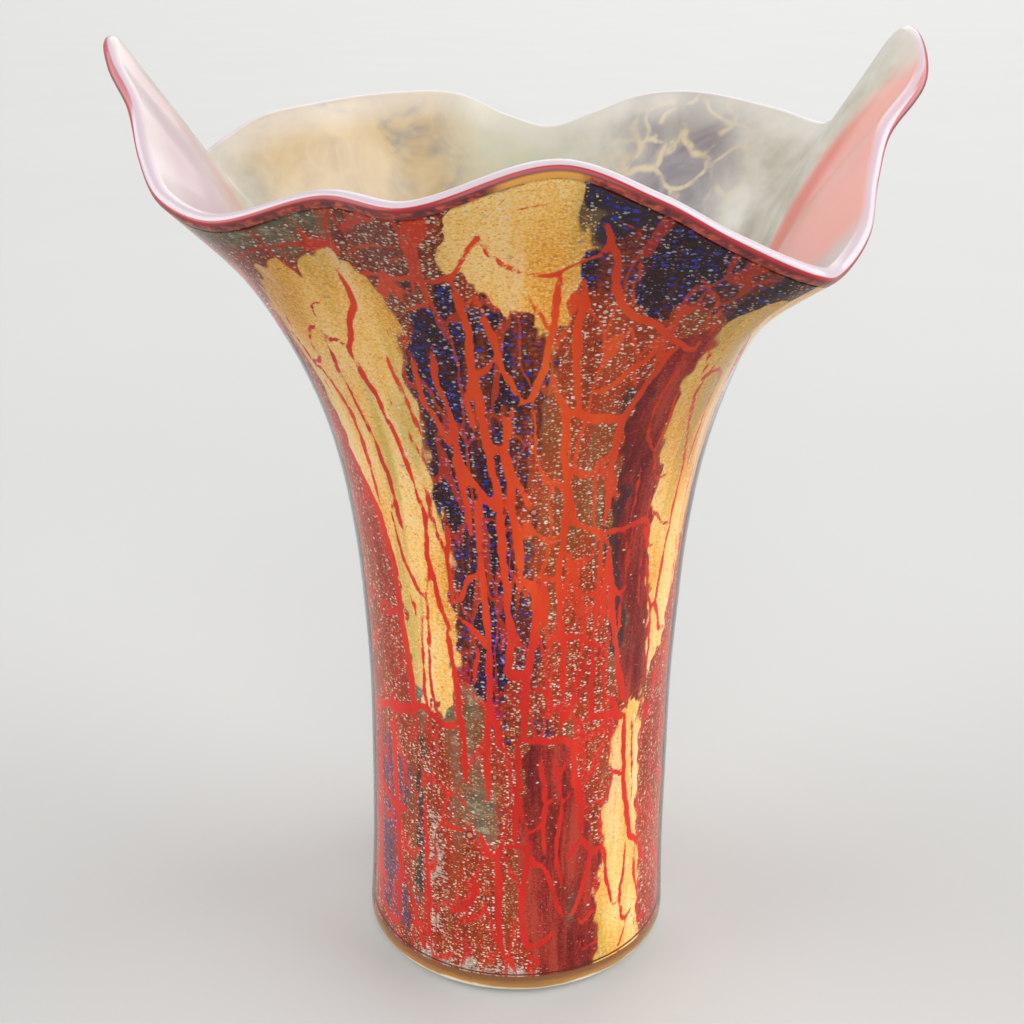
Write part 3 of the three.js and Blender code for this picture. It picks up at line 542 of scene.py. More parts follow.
def curve_through(knots, x):
    """The value at x of a smooth curve through knots (x, y), a cubic in each span."""
    knots = np.asarray(knots, float)
    x = np.asarray(x, float)
    xs, ys = knots[:, 0], knots[:, 1]
    last = len(xs) - 1
    before = np.maximum(np.arange(last + 1) - 1, 0)
    after = np.minimum(np.arange(last + 1) + 1, last)
    slopes = (ys[after] - ys[before]) / (xs[after] - xs[before])
    i = np.clip(np.searchsorted(xs, x, side="right") - 1, 0, last - 1)
    width = xs[i + 1] - xs[i]
    u = (x - xs[i]) / width
    return (
        ys[i] * (2 * u**3 - 3 * u**2 + 1)
        + ys[i + 1] * (3 * u**2 - 2 * u**3)
        + slopes[i] * width * (u**3 - 2 * u**2 + u)
        + slopes[i + 1] * width * (u**3 - u**2)
    )


def rim_knots(column):
    return [(row[0] + turn, row[column]) for turn in (-TURN, 0, TURN) for row in RIM]


RIM_RADII = rim_knots(1)
RIM_HEIGHTS = rim_knots(2)


def bow_at(z):
    return BOW * np.sin(np.pi * np.minimum(z, BOW_SPAN) / BOW_SPAN)


def wall(azimuth, height):
    """Points of the wall's outer surface. height is the height before the rim was worked."""
    azimuth, height = np.broadcast_arrays(np.asarray(azimuth, float), np.asarray(height, float))
    worked = np.maximum(0, (height - WORKED_FROM) / (RIM_HEIGHT - WORKED_FROM))
    around = azimuth % TURN
    outward = curve_through(RIM_RADII, around) - RIM_RADIUS
    upward = curve_through(RIM_HEIGHTS, around) - RIM_HEIGHT
    radius = curve_through(PROFILE, height) + outward * worked**RADIUS_FADE
    z = height + upward * worked**HEIGHT_FADE
    angle = np.radians(azimuth)
    return np.stack([radius * np.cos(angle) + bow_at(z), radius * np.sin(angle), z], -1)


def unit(vectors):
    return vectors / np.linalg.norm(vectors, axis=-1, keepdims=True)


def wall_frame(azimuth, height):
    """The surface's upward tangent, its outward normal, and how far it runs for each millimetre of height."""
    up = wall(azimuth, height + PROBE) - wall(azimuth, height - PROBE)
    around = wall(azimuth + PROBE, height) - wall(azimuth - PROBE, height)
    speed = np.linalg.norm(up, axis=-1) / (2 * PROBE)
    return unit(up), unit(np.cross(around, up)), speed


def wall_point(azimuth, height, depth):
    return wall(azimuth, height) - wall_frame(azimuth, height)[1] * np.asarray(depth)[..., None]


def height_below_rim(azimuth, distance):
    return RIM_HEIGHT - distance / wall_frame(azimuth, np.full_like(azimuth, RIM_HEIGHT))[2]


def unrolled(azimuth):
    """The azimuth within the turn that starts at SEAM."""
    return SEAM + (azimuth - SEAM) % TURN


AZIMUTHS = np.arange(AROUND) * TURN / AROUND
LAYER_TOP = height_below_rim(AZIMUTHS, LIP_DEPTH + LIP_GAP)


# Meshes.

def closed_mesh(name, points, faces, fields):
    """A smooth closed mesh from points in millimetres, with fields (name: values at each point)."""
    mesh = bpy.data.meshes.new(name)
    mesh.from_pydata((points * MM).tolist(), [], faces)
    for field, values in fields.items():
        kind = "FLOAT" if values.ndim == 1 else "FLOAT_VECTOR"
        layer = mesh.attributes.new(field, kind, "POINT")
        layer.data.foreach_set("value" if values.ndim == 1 else "vector", values.astype(np.float32).ravel())
    mesh.polygons.foreach_set("use_smooth", [True] * len(mesh.polygons))
    mesh.set_sharp_from_angle(angle=math.radians(SHARP_ANGLE))
    mesh.update()
    piece = bpy.data.objects.new(name, mesh)
    bpy.context.scene.collection.objects.link(piece)
    return piece


def ring_mesh(name, rings, fields=None, joined=False):
    """A closed surface through rings of points that run up the outside and down the inside.

    A ring of one point is a pole. With joined, the last ring joins the first."""
    starts = np.cumsum([0] + [len(ring) for ring in rings])
    faces = []
    pairs = [(row, row + 1) for row in range(len(rings) - 1)]
    if joined:
        pairs.append((len(rings) - 1, 0))
    for low, high in pairs:
        for i in range(AROUND):
            j = (i + 1) % AROUND
            if len(rings[low]) == 1:
                faces.append((starts[low], starts[high] + j, starts[high] + i))
            elif len(rings[high]) == 1:
                faces.append((starts[low] + i, starts[low] + j, starts[high]))
            else:
                faces.append((starts[low] + i, starts[low] + j, starts[high] + j, starts[high] + i))
    return closed_mesh(name, np.concatenate(rings), [tuple(map(int, face)) for face in faces], fields or {})


def patch_mesh(name, outer, inner, fields):
    """A thin closed solid between two grids of points (rows, columns, 3), with the outer one facing out."""
    rows, columns = outer.shape[:2]
    count = rows * columns
    at = np.arange(count).reshape(rows, columns)
    quads = np.stack([at[:-1, :-1], at[:-1, 1:], at[1:, 1:], at[1:, :-1]], -1).reshape(-1, 4)
    edge = np.concatenate([at[0, :], at[1:, -1], at[-1, -2::-1], at[-2:0:-1, 0]])
    after = np.roll(edge, -1)
    sides = np.stack([after, edge, edge + count, after + count], -1)
    faces = np.concatenate([quads, quads[:, ::-1] + count, sides]).tolist()
    points = np.concatenate([outer.reshape(-1, 3), inner.reshape(-1, 3)])
    doubled = {field: np.concatenate([values, values]) for field, values in fields.items()}
    return closed_mesh(name, points, faces, doubled)


# Fields over the shard layer.

def edge_shift(azimuth, height, turn):
    """A smooth irregular shift in millimetres, seamless round the wall. turn moves its waves on."""
    shift = 0
    for around, upward, size, phase in EDGE_WAVES:
        angle = np.radians(around * azimuth) + 2 * np.pi * upward * height * MM + phase + turn
        shift = shift + size * np.sin(angle)
    return shift


def patch_weight(azimuth, height, rows, softness):
    """1 well inside a patch and 0 well outside, through 0.5 at its edge."""
    rows = np.asarray(rows, float)
    per_degree = np.radians(curve_through(PROFILE, np.clip(height, 0, RIM_HEIGHT)))
    azimuth = azimuth + SIDE_SHARE * edge_shift(azimuth, height, 0) / per_degree
    height = height + edge_shift(azimuth, height, RISE_PHASE)
    left = np.interp(height, rows[:, 0], rows[:, 1])
    right = np.interp(height, rows[:, 0], rows[:, 2])
    inside = np.minimum(azimuth - left, right - azimuth) * per_degree
    inside = np.minimum(inside, np.minimum(height - rows[0, 0], rows[-1, 0] - height))
    return np.clip(0.5 + inside / (2 * softness), 0, 1)


def vein_samples():
    """Points along every vein, each with half the vein's width there, thinning towards the ends."""
    points, halves = [], []
    for mirrored in (False, True):
        for width, knots in VEINS:
            knots = np.asarray(knots, float)
            if mirrored:
                knots[:, 0] = MIRROR - knots[:, 0]
            along = np.arange(len(knots))
            steps = np.linspace(0, len(knots) - 1, max(2, (len(knots) - 1) * VEIN_STEPS + 1))
            azimuth = curve_through(np.stack([along, knots[:, 0]], -1), steps)
            height = curve_through(np.stack([along, knots[:, 1]], -1), steps)
            end = np.minimum(steps, len(knots) - 1 - steps)
            points.append(wall(azimuth, height))
            halves.append(VEIN_SPREAD * width / 2 * (VEIN_TIP + (1 - VEIN_TIP) * np.clip(end, 0, 1)))
    return np.concatenate(points), np.concatenate(halves)


def tree_of(points):
    tree = KDTree(len(points))
    for i, point in enumerate(points):
        tree.insert(point, i)
    tree.balance()
    return tree


VEIN_POINTS, VEIN_HALVES = vein_samples()
VEIN_TREE = tree_of(VEIN_POINTS)
BUBBLE_TREE = tree_of([wall(azimuth, height) for azimuth, height, _ in BUBBLES])
BUBBLE_RADII = [bubble[2] for bubble in BUBBLES]


def vein_clearance(points):
    """The distance in millimetres from each point to the edge of the nearest vein, below 0 in the vein."""
    clearance = np.empty(len(points))
    for row, point in enumerate(points):
        found = VEIN_TREE.find_n(point, 2)
        clearance[row] = min(distance - VEIN_HALVES[i] for _, i, distance in found)
    return np.minimum(clearance, FAR)


def bubble_ratio(points):
    """The distance from each point to the nearest bubble's centre, in bubble radii."""
    ratios = np.empty(len(points))
    for row, point in enumerate(points):
        _, i, distance = BUBBLE_TREE.find(point)
        ratios[row] = distance / BUBBLE_RADII[i]
    return np.minimum(ratios, FAR)


def shard_fields(azimuth, height):
    """The fields of the crackle pattern at points of the wall."""
    azimuth, height = azimuth.ravel(), height.ravel()
    points = wall(azimuth, height)
    speed = wall_frame(azimuth, np.full_like(azimuth, RIM_HEIGHT))[2]
    around = unrolled(azimuth)
    angle = np.radians(azimuth)
    flow = np.stack([FLOW_RADIUS * np.cos(angle), FLOW_RADIUS * np.sin(angle), FLOW_RISE * height], -1) * MM
    sideways, upwards = (VEIN_WOBBLE * edge_shift(azimuth, height, phase) for phase in VEIN_PHASES)
    wandering = wall(azimuth + sideways / np.radians(FLOW_RADIUS), height + upwards)
    fields = {
        "flow": flow,
        "drop": (RIM_HEIGHT - height) * speed,
        "vein": vein_clearance(wandering),
        "bubble": bubble_ratio(points),
    }
    for colour, patches in PATCHES.items():
        weights = [patch_weight(around, height, rows, EDGE_SOFTNESS[colour]) for rows in patches]
        fields[colour] = np.max(weights, axis=0)
    return fields


# Pieces.

def border_azimuth(name, height, turns=0):
    knots = [(STATIONS[i], azimuth) for i, azimuth in enumerate(BORDERS[name])]
    return curve_through(knots, np.minimum(height, STATIONS[-1])) + turns * TURN


def shard_grid(left, right, bottom, top):
    """Azimuths and heights of a grid between two borders. A top of None is just under the lip."""
    turns = 1 if BORDERS[right][0] < BORDERS[left][0] else 0
    ceiling = RIM_HEIGHT if top is None else top
    middle = (bottom + ceiling) / 2
    width = border_azimuth(right, middle, turns) - border_azimuth(left, middle)
    widest = np.radians(width) * curve_through(PROFILE, ceiling)
    length = (ceiling - bottom) * wall_frame(FRONT, middle)[2]
    columns = max(LEAST_COLUMNS, int(np.radians(width) * FLOW_RADIUS * COLUMN_MARGIN / SHARD_STEP))
    rows = max(LEAST_ROWS, int(length / SHARD_STEP))
    columns = max(columns, int(widest / (2 * SHARD_STEP)))
    across, upwards = np.meshgrid(np.linspace(0, 1, columns + 1), np.linspace(0, 1, rows + 1))
    height = bottom + (ceiling - bottom) * upwards
    azimuth = border_azimuth(left, height)
    azimuth = azimuth + (border_azimuth(right, height, turns) - azimuth) * across
    if top is None:
        shift = height_below_rim(azimuth, LIP_DEPTH) - RIM_HEIGHT
        height = height + shift * upwards
    return azimuth, height


def shard(name, left, right, bottom, top):
    azimuth, height = shard_grid(left, right, bottom, top)
    outer = wall_point(azimuth, height, np.full_like(height, SHARDS[0]))
    inner = wall_point(azimuth, height, np.full_like(height, SHARDS[1]))
    return patch_mesh(name, outer, inner, shard_fields(azimuth, height))


def shard_pieces():
    pieces = {}
    for left, right, stack in STRIPS:
        bottom = ABOVE_FOOT
        for name, top in stack:
            pieces[name] = shard("visual_" + name, left, right, bottom, top)
            bottom = top
    return pieces


def sleeve_rings(depth, bottom, rows):
    """Rings of one face of a layer, from a height up to just under the lip."""
    shares = np.linspace(0, 1, rows + 1)
    rings, heights = [], []
    for share in shares:
        height = bottom + (LAYER_TOP - bottom) * share
        rings.append(wall_point(AZIMUTHS, height, np.full(AROUND, depth)))
        heights.append(height)
    return rings, heights


def pole(z):
    return np.array([[bow_at(z), 0, z]])


def casing_piece():
    outside, _ = sleeve_rings(CASING[0], ABOVE_FOOT, SLEEVE_ROWS)
    inside, _ = sleeve_rings(CASING[1], ABOVE_FOOT, SLEEVE_ROWS)
    skin = np.repeat([1.0, 0.0], [AROUND * len(outside), AROUND * len(inside)])
    return ring_mesh("visual_clear_casing", outside + inside[::-1], {"skin": skin}, joined=True)


def ground_piece():
    outside, _ = sleeve_rings(GROUND[0], ABOVE_FOOT, HIDDEN_ROWS)
    inside, _ = sleeve_rings(GROUND[1], ABOVE_FOOT + GROUND_FLOOR, HIDDEN_ROWS)
    below = [pole(ABOVE_FOOT)]
    for share in GROUND_UNDER_SHARES:
        below.append(outside[0] * [share, share, 1] + pole(ABOVE_FOOT) * [1 - share, 1 - share, 0])
    sides = outside + inside[::-1] + [pole(ABOVE_FOOT + GROUND_FLOOR)]
    side = [np.zeros(len(ring)) for ring in below] + [np.ones(len(ring)) for ring in sides]
    return ring_mesh("visual_red_ground", below + sides, {"side": np.concatenate(side)})


def lip_rings():
    """The rounded lip, from its outer lower edge over the top: rings, and how far each is below the rim."""
    up, normal, _ = wall_frame(AZIMUTHS, np.full(AROUND, RIM_HEIGHT))
    rim = wall(AZIMUTHS, np.full(AROUND, RIM_HEIGHT))
    rings, drops = [], []
    low = height_below_rim(AZIMUTHS, LIP_DEPTH)
    for depth in (LINING[0], CASING[0]):
        rings.append(wall_point(AZIMUTHS, low, np.full(AROUND, depth)))
        drops.append(LIP_DEPTH)
    for step in range(LIP_ARC_STEPS + 1):
        turn = math.pi * step / LIP_ARC_STEPS
        along = LIP_RADIUS * (1 - math.sin(turn))
        inward = LIP_RADIUS * (1 - math.cos(turn))
        rings.append(rim - up * along - normal * inward)
        drops.append(along if turn < math.pi / 2 else -along)
    return rings, drops


def floor_rings(last):
    """Rings from the foot of the inner wall over a rounded corner to the middle of the floor."""
    rings = []
    centre = pole(LINING_FLOOR)
    reach = last - centre
    for share in np.linspace(0, 1, FLOOR_RINGS + 1)[1:-1]:
        inward = math.sin(share * math.pi / 2)
        ring = centre + reach * [1 - inward, 1 - inward, 0]
        ring[:, 2] = LINING_FLOOR + FLOOR_FILLET * max(0, 1 - FILLET_FALL * share) ** 2
        rings.append(ring)
    return rings


def lining_piece():
    outside, _ = sleeve_rings(LINING[0], LINING_BOTTOM, HIDDEN_ROWS)
    inside, heights = sleeve_rings(LINING[1], LINING_FLOOR + FLOOR_FILLET, SLEEVE_ROWS)
    lip, drops = lip_rings()
    inside, heights = inside[::-1], heights[::-1]
    floor = floor_rings(inside[-1])
    rings = [pole(LINING_BOTTOM)] + outside + lip + inside + floor + [pole(LINING_FLOOR)]
    speed = wall_frame(AZIMUTHS, np.full(AROUND, RIM_HEIGHT))[2]
    drop = [np.full(1, FAR)] + [np.full(AROUND, FAR)] * len(outside)
    drop += [np.full(AROUND, float(value)) for value in drops]
    drop += [-(RIM_HEIGHT - height) * speed for height in heights]
    drop += [np.full(AROUND, DEEP)] * len(floor) + [np.full(1, DEEP)]
    fields = {"drop": np.concatenate(drop)}
    points = np.concatenate(rings)
    azimuth = np.degrees(np.arctan2(points[:, 1], points[:, 0]))
    fields.update(lining_fields(azimuth, points[:, 2]))
    return ring_mesh("visual_opal_lining", rings, fields)


def lining_fields(azimuth, z):
    """How strongly each colour of the shard layer shows through the lining."""
    around = azimuth % TURN
    fields = {}
    for colour, patches in LINING_PATCHES.items():
        weights = []
        for rows in patches:
            rows = np.asarray(rows, float)
            left = np.interp(z, rows[:, 0], rows[:, 1])
            right = np.interp(z, rows[:, 0], rows[:, 2])
            inside = np.minimum(around - left, right - around)
            weights.append(np.clip(0.5 + inside / (2 * LINING_SOFTNESS[colour]), 0, 1))
        fields[colour] = np.max(weights, axis=0)
    return fields


def base_piece():
    """The clear foot: flat underneath, with a rounded corner."""
    flat = PROFILE[0][1] - FOOT_CORNER
    angle = np.radians(AZIMUTHS)
    circle = np.stack([np.cos(angle), np.sin(angle), np.zeros(AROUND)], -1)
    rings = [pole(0)] + [circle * flat * share for share in FOOT_UNDER_SHARES]
    for step in range(1, CORNER_STEPS + 1):
        turn = math.pi / 2 * step / CORNER_STEPS
        height = FOOT_CORNER * (1 - math.cos(turn))
        inward = FOOT_CORNER * (1 - math.sin(turn))
        ring = wall_point(AZIMUTHS, np.full(AROUND, height), np.full(AROUND, inward))
        ring[:, 2] = height
        rings.append(ring)
    for height in np.linspace(FOOT_CORNER, FOOT_HEIGHT, FOOT_SIDE_STEPS + 1)[1:]:
        ring = wall(AZIMUTHS, np.full(AROUND, height))
        ring[:, 2] = height
        rings.append(ring)
    rings += [rings[-1] * [share, share, 1] for share in FOOT_TOP_SHARES]
    rings.append(pole(FOOT_HEIGHT))
    return ring_mesh("visual_base_gather", rings)


# Materials.

class Graph:
    """A material's node tree, built call by call."""

    def __init__(self, name):
        self.material = bpy.data.materials.new(name)
        self.material.use_nodes = True
        self.tree = self.material.node_tree
        self.tree.nodes.clear()

    def node(self, kind, settings=None, inputs=None):
        made = self.tree.nodes.new(kind)
        for key, value in (settings or {}).items():
            setattr(made, key, value)
        for key, value in (inputs or {}).items():
            self.plug(made.inputs[key], value)
        return made

    def plug(self, socket, value):
        """Link the socket to another, or set it. A string is a hex colour code."""
        if isinstance(value, bpy.types.NodeSocket):
            self.tree.links.new(value, socket)
        else:
            socket.default_value = srgb(value) if isinstance(value, str) else value

    def math(self, operation, *values):
        return self.node("ShaderNodeMath", {"operation": operation}, dict(enumerate(values))).outputs[0]

    def add(self, a, b):
        return self.math("ADD", a, b)

    def times(self, a, b):
        return self.math("MULTIPLY", a, b)

    def step(self, value, low, high):
        """0 where value is at low, 1 where it is at high, smooth between."""
        settings = {"interpolation_type": "SMOOTHSTEP"}
        inputs = {"Value": value, "From Min": low, "From Max": high}
        if low > high:
            inputs.update({"From Min": high, "From Max": low, "To Min": 1.0, "To Max": 0.0})
        return self.node("ShaderNodeMapRange", settings, inputs).outputs[0]

    def mix(self, factor, a, b, blend="MIX"):
        made = self.node("ShaderNodeMix", {"data_type": "RGBA", "blend_type": blend}, {0: factor, 6: a, 7: b})
        return made.outputs[2]

    def field(self, name):
        return self.node("ShaderNodeAttribute", {"attribute_name": name}).outputs["Fac"]

    def vector_field(self, name):
        return self.node("ShaderNodeAttribute", {"attribute_name": name}).outputs["Vector"]

    def place(self):
        return self.node("ShaderNodeTexCoord").outputs["Object"]

    def vector_math(self, operation, inputs):
        return self.node("ShaderNodeVectorMath", {"operation": operation}, inputs).outputs[0]

    def stretch(self, vector, x, y, z):
        return self.vector_math("MULTIPLY", {0: vector, 1: (x, y, z)})

    def noise(self, vector, scale, detail=2.0, roughness=0.5, distortion=0.0):
        inputs = {"Vector": vector, "Scale": scale, "Detail": detail, "Roughness": roughness,
                  "Distortion": distortion}
        return self.node("ShaderNodeTexNoise", None, inputs).outputs["Fac"]

    def warp(self, vector, scale, amount):
        """The vector, shifted about by up to half the amount."""
        noise = self.node("ShaderNodeTexNoise", None, {"Vector": vector, "Scale": scale, "Detail": 2.0})
        centred = self.vector_math("SUBTRACT", {0: noise.outputs["Color"], 1: (0.5, 0.5, 0.5)})
        scaled = self.vector_math("SCALE", {0: centred, "Scale": amount})
        return self.vector_math("ADD", {0: vector, 1: scaled})

    def cells(self, vector, scale, feature="F1"):
        return self.node("ShaderNodeTexVoronoi", {"feature": feature}, {"Vector": vector, "Scale": scale})

    def channel(self, colour, index):
        return self.node("ShaderNodeSeparateColor", None, {"Color": colour}).outputs[index]

    def ramp(self, value, stops):
        """A smooth colour ramp through stops (position, hex colour code)."""
        made = self.node("ShaderNodeValToRGB", None, {"Fac": value})
        elements = made.color_ramp.elements
        while len(elements) < len(stops):
            elements.new(0.5)
        for element, (position, colour) in zip(elements, stops):
            element.position = position
            element.color = srgb(colour)
        return made.outputs[0]

    def finish(self, shader):
        output = self.node("ShaderNodeOutputMaterial")
        self.tree.links.new(shader, output.inputs["Surface"])
        return self.material


def srgb(code):
    """The linear colour of a hex code."""
    levels = [int(code[i:i + 2], 16) / 255 for i in (1, 3, 5)]
    return tuple(v / 12.92 if v <= 0.04045 else ((v + 0.055) / 1.055) ** 2.4 for v in levels) + (1.0,)


def feathered(g, name, streak, amount, spread=0.08):
    """A colour's field, with its edge broken up by streaks and blurred by the spread."""
    shifted = g.add(g.field(name), g.times(g.add(streak, -0.5), amount))
    return g.step(shifted, 0.5 - spread, 0.5 + spread)


def flecks(g, place, scale, size, keep):
    """Specks of leaf: a mask, and a random value for each speck. keep is the share of them that show."""
    found = g.cells(place, scale)
    luck = found.outputs["Color"]
    shape = g.step(found.outputs["Distance"], size, size * SPECK_CORE)
    shown = g.step(g.math("SUBTRACT", keep, g.channel(luck, 0)), -0.02, 0.02)
    return g.times(shape, shown), g.channel(luck, 1)


def shard_noises(g):
    """The noises of the shard layer. Those on flow are drawn out along the height, as blown glass is."""
    place = g.place()
    flow = g.vector_field("flow")
    return SimpleNamespace(
        place=place,
        flow=flow,
        streak=g.noise(g.stretch(flow, 1, 1, 0.35), 190, 4, 0.62),
        broad=g.noise(flow, 38, 3, 0.55),
        grain=g.noise(g.stretch(place, 1, 1, 1.8), 700, 3, 0.65),
        stipple=g.noise(g.stretch(place, 1, 1, 1.5), 1150, 2, 0.7),
        mottle=g.noise(g.stretch(flow, 1, 1, 0.6), 95, 4, 0.6),
        patchy=g.noise(g.stretch(flow, 1, 1, 0.8), 130, 3, 0.6),
    )


def shard_masks(g, n):
    """How strongly each colour covers the leaf."""
    grainy = g.add(0.5, g.times(g.step(n.grain, 0.4, 0.54), 0.45))
    return {
        "gold": feathered(g, "gold", n.streak, 0.7),
        "cobalt": feathered(g, "cobalt", n.streak, 1.3),
        "maroon": feathered(g, "maroon", n.streak, 0.6),
        "green": g.times(feathered(g, "green", n.mottle, 2.6, 0.35), grainy),
        "violet": g.times(feathered(g, "violet", n.streak, 1.4), 0.8),
        "dark": g.times(feathered(g, "dark", n.streak, 1.5), 0.85),
        "frost": g.times(feathered(g, "frost", n.grain, 2.2), 0.8),
        "dusk": g.times(feathered(g, "dusk", n.streak, 1.6), 0.7),
        "umber": g.times(feathered(g, "umber", n.streak, 1.0), 0.9),
    }


def ground_paint(g, n):
    """The red ground: redder below, more orange in the upper front."""
    red = g.ramp(n.mottle, ((0.25, "#C21C14"), (0.5, "#D8281A"), (0.75, "#E43C22")))
    orange = g.ramp(n.mottle, ((0.25, "#D6420C"), (0.5, "#E65212"), (0.75, "#EE6C20")))
    return g.mix(g.field("orange"), red, orange)


def fine_cracks(g, n, masks):
    """Fine cracks between the larger veins: how far off one is, where they may show, and their mask."""
    crack = g.cells(g.warp(n.flow, 140, 0.008), 105, "DISTANCE_TO_EDGE").outputs["Distance"]
    covered = g.math("MAXIMUM", masks["gold"], g.math("MAXIMUM", masks["maroon"], masks["green"]))
    plain = g.add(1, g.times(g.math("MAXIMUM", covered, g.times(masks["cobalt"], 0.35)), -1))
    width = g.add(0.012, g.times(g.step(n.patchy, 0.4, 0.62), 0.06))
    mask = g.times(g.step(g.math("SUBTRACT", crack, width), 0.02, -0.01), g.times(plain, 0.88))
    return crack, plain, mask


def gold_paint(g, n):
    tone = g.add(g.times(n.broad, 0.6), g.times(n.stipple, 0.4))
    gold = g.ramp(tone, ((0.38, "#D08420"), (0.45, "#EAA636"), (0.52, "#FACA66"), (0.62, "#FFE6AA")))
    olive = g.step(g.noise(g.stretch(n.flow, 1, 1, 0.4), 84, 3, 0.55), 0.52, 0.66)
    gold = g.mix(g.times(olive, 0.62), gold, "#BEAA42")
    # Painted highlights: pale cream patches on the gold stand in for the glints of the leaf.
    cream = g.step(g.noise(g.stretch(n.flow, 1, 1, 0.3), 150, 3, 0.6), 0.54, 0.68)
    gold = g.mix(g.times(cream, 0.55), gold, "#FBE7BC")
    wrinkle = g.step(g.noise(g.stretch(n.place, 1, 1, 2.2), 520, 4, 0.75, 0.6), 0.42, 0.35)
    return g.mix(g.times(wrinkle, 0.5), gold, "#B4562A")


def leaf_colour(g, n, masks, ground):
    """Silver leaf over the ground, with each colour's paint over it in its patches."""
    rust = g.ramp(g.add(g.times(n.mottle, 0.35), g.times(n.grain, 0.65)), (
        (0.38, "#5A220E"), (0.47, "#92340F"), (0.56, "#B83C16"), (0.66, "#8C5024")))
    moss = g.step(g.noise(g.stretch(n.flow, 1, 1, 0.7), 88, 3, 0.55), 0.5, 0.64)
    rust = g.mix(g.times(moss, 0.5), rust, "#5C5A2C")
    umber = g.ramp(n.grain, ((0.36, "#4E1C10"), (0.5, "#802F16"), (0.64, "#A8481E")))
    night = g.ramp(n.grain, ((0.35, "#160A14"), (0.55, "#34121A"), (0.7, "#701F12")))
    navy = g.mix(g.step(g.add(g.times(n.patchy, 0.6), g.times(n.streak, 0.4)), 0.41, 0.51), umber, night)
    wine = g.ramp(g.add(g.times(n.streak, 0.65), g.times(n.stipple, 0.35)), (
        (0.38, "#64100F"), (0.48, "#92241C"), (0.58, "#BA4431")))
    teal = g.ramp(g.noise(g.stretch(n.place, 1, 1, 3.2), 160, 5, 0.7), (
        (0.32, "#23443F"), (0.44, "#4A7A68"), (0.52, "#7E6A48"), (0.6, "#86A890"), (0.74, "#CDC9A4")))
    plum = g.ramp(n.streak, ((0.3, "#3A2E58"), (0.52, "#6A4356"), (0.75, "#9A4A44")))
    slate = g.ramp(n.streak, ((0.3, "#17171F"), (0.6, "#3A3038"), (0.8, "#6A3A34")))
    frost = g.ramp(n.grain, ((0.3, "#6E5A58"), (0.5, "#B4B2A4"), (0.7, "#E6E2D4")))
    layers = (
        ("violet", plum), ("dusk", navy), ("umber", umber), ("maroon", wine), ("green", teal),
        ("gold", gold_paint(g, n)), ("cobalt", navy), ("dark", slate), ("frost", frost),
    )
    colour = g.mix(0.84, ground, rust)
    for name, paint in layers:
        colour = g.mix(masks[name], colour, paint)
    return colour


def with_fine_specks(g, n, masks, blueness, leafy, colour):
    """A fine dense layer of specks over the colour."""
    place = g.warp(g.stretch(n.place, 1, 1, 1.7), 700, 0.0008)
    keep = g.add(g.add(0.26, g.times(g.step(n.patchy, 0.42, 0.58), 0.5)), g.times(masks["cobalt"], -0.25))
    speck, luck = flecks(g, place, 1000, 0.46, g.times(keep, leafy))
    tan = g.ramp(luck, ((0.0, "#B4743E"), (0.4, "#D8A878"), (0.7, "#EDD8B4"), (1.0, "#A2AC78")))
    honey = g.ramp(luck, ((0.0, "#D08A2C"), (0.45, "#F2D48A"), (1.0, "#FBE6B4")))
    steel = g.ramp(luck, ((0.0, "#2A3696"), (0.5, "#7A4A52"), (1.0, "#B8B6C4")))
    paint = g.mix(masks["gold"], g.mix(blueness, tan, steel), honey)
    return g.mix(g.times(speck, 0.85), colour, paint)


def with_blue_dashes(g, n, blueness, colour):
    """Blue dashes over the colour where it is blue."""
    place = g.warp(g.stretch(n.place, 1, 1, 2.3), 380, 0.0026)
    keep = g.times(blueness, g.add(0.26, g.times(g.step(n.streak, 0.42, 0.6), 0.36)))
    dash, luck = flecks(g, place, 400, 0.5, keep)
    blue = g.ramp(luck, ((0.0, "#16206E"), (0.6, "#2432A6"), (1.0, "#3C4CC0")))
    return g.mix(g.times(dash, 0.92), colour, blue)


def with_bright_specks(g, n, masks, blueness, leafy, near_vein, colour):
    """Bright specks over the colour, along the borders of the cells."""
    place = g.warp(g.stretch(n.place, 1, 1, 1.9), 500, 0.0016)
    keep = g.times(g.add(0.03, g.times(near_vein, 0.62)), leafy)
    keep = g.times(keep, g.add(1, g.times(masks["gold"], -0.75)))
    bright, luck = flecks(g, place, 640, 0.44, keep)
    white = g.ramp(luck, ((0.0, "#D8C49A"), (0.35, "#EEE6D2"), (0.7, "#F6F4EC"), (1.0, "#B2C4A8")))
    white = g.mix(g.times(blueness, 0.7), white, "#A2A8C0")
    white = g.mix(g.times(masks["violet"], 0.8), white, "#B9B0C8")
    return g.mix(g.times(bright, 0.94), colour, white)


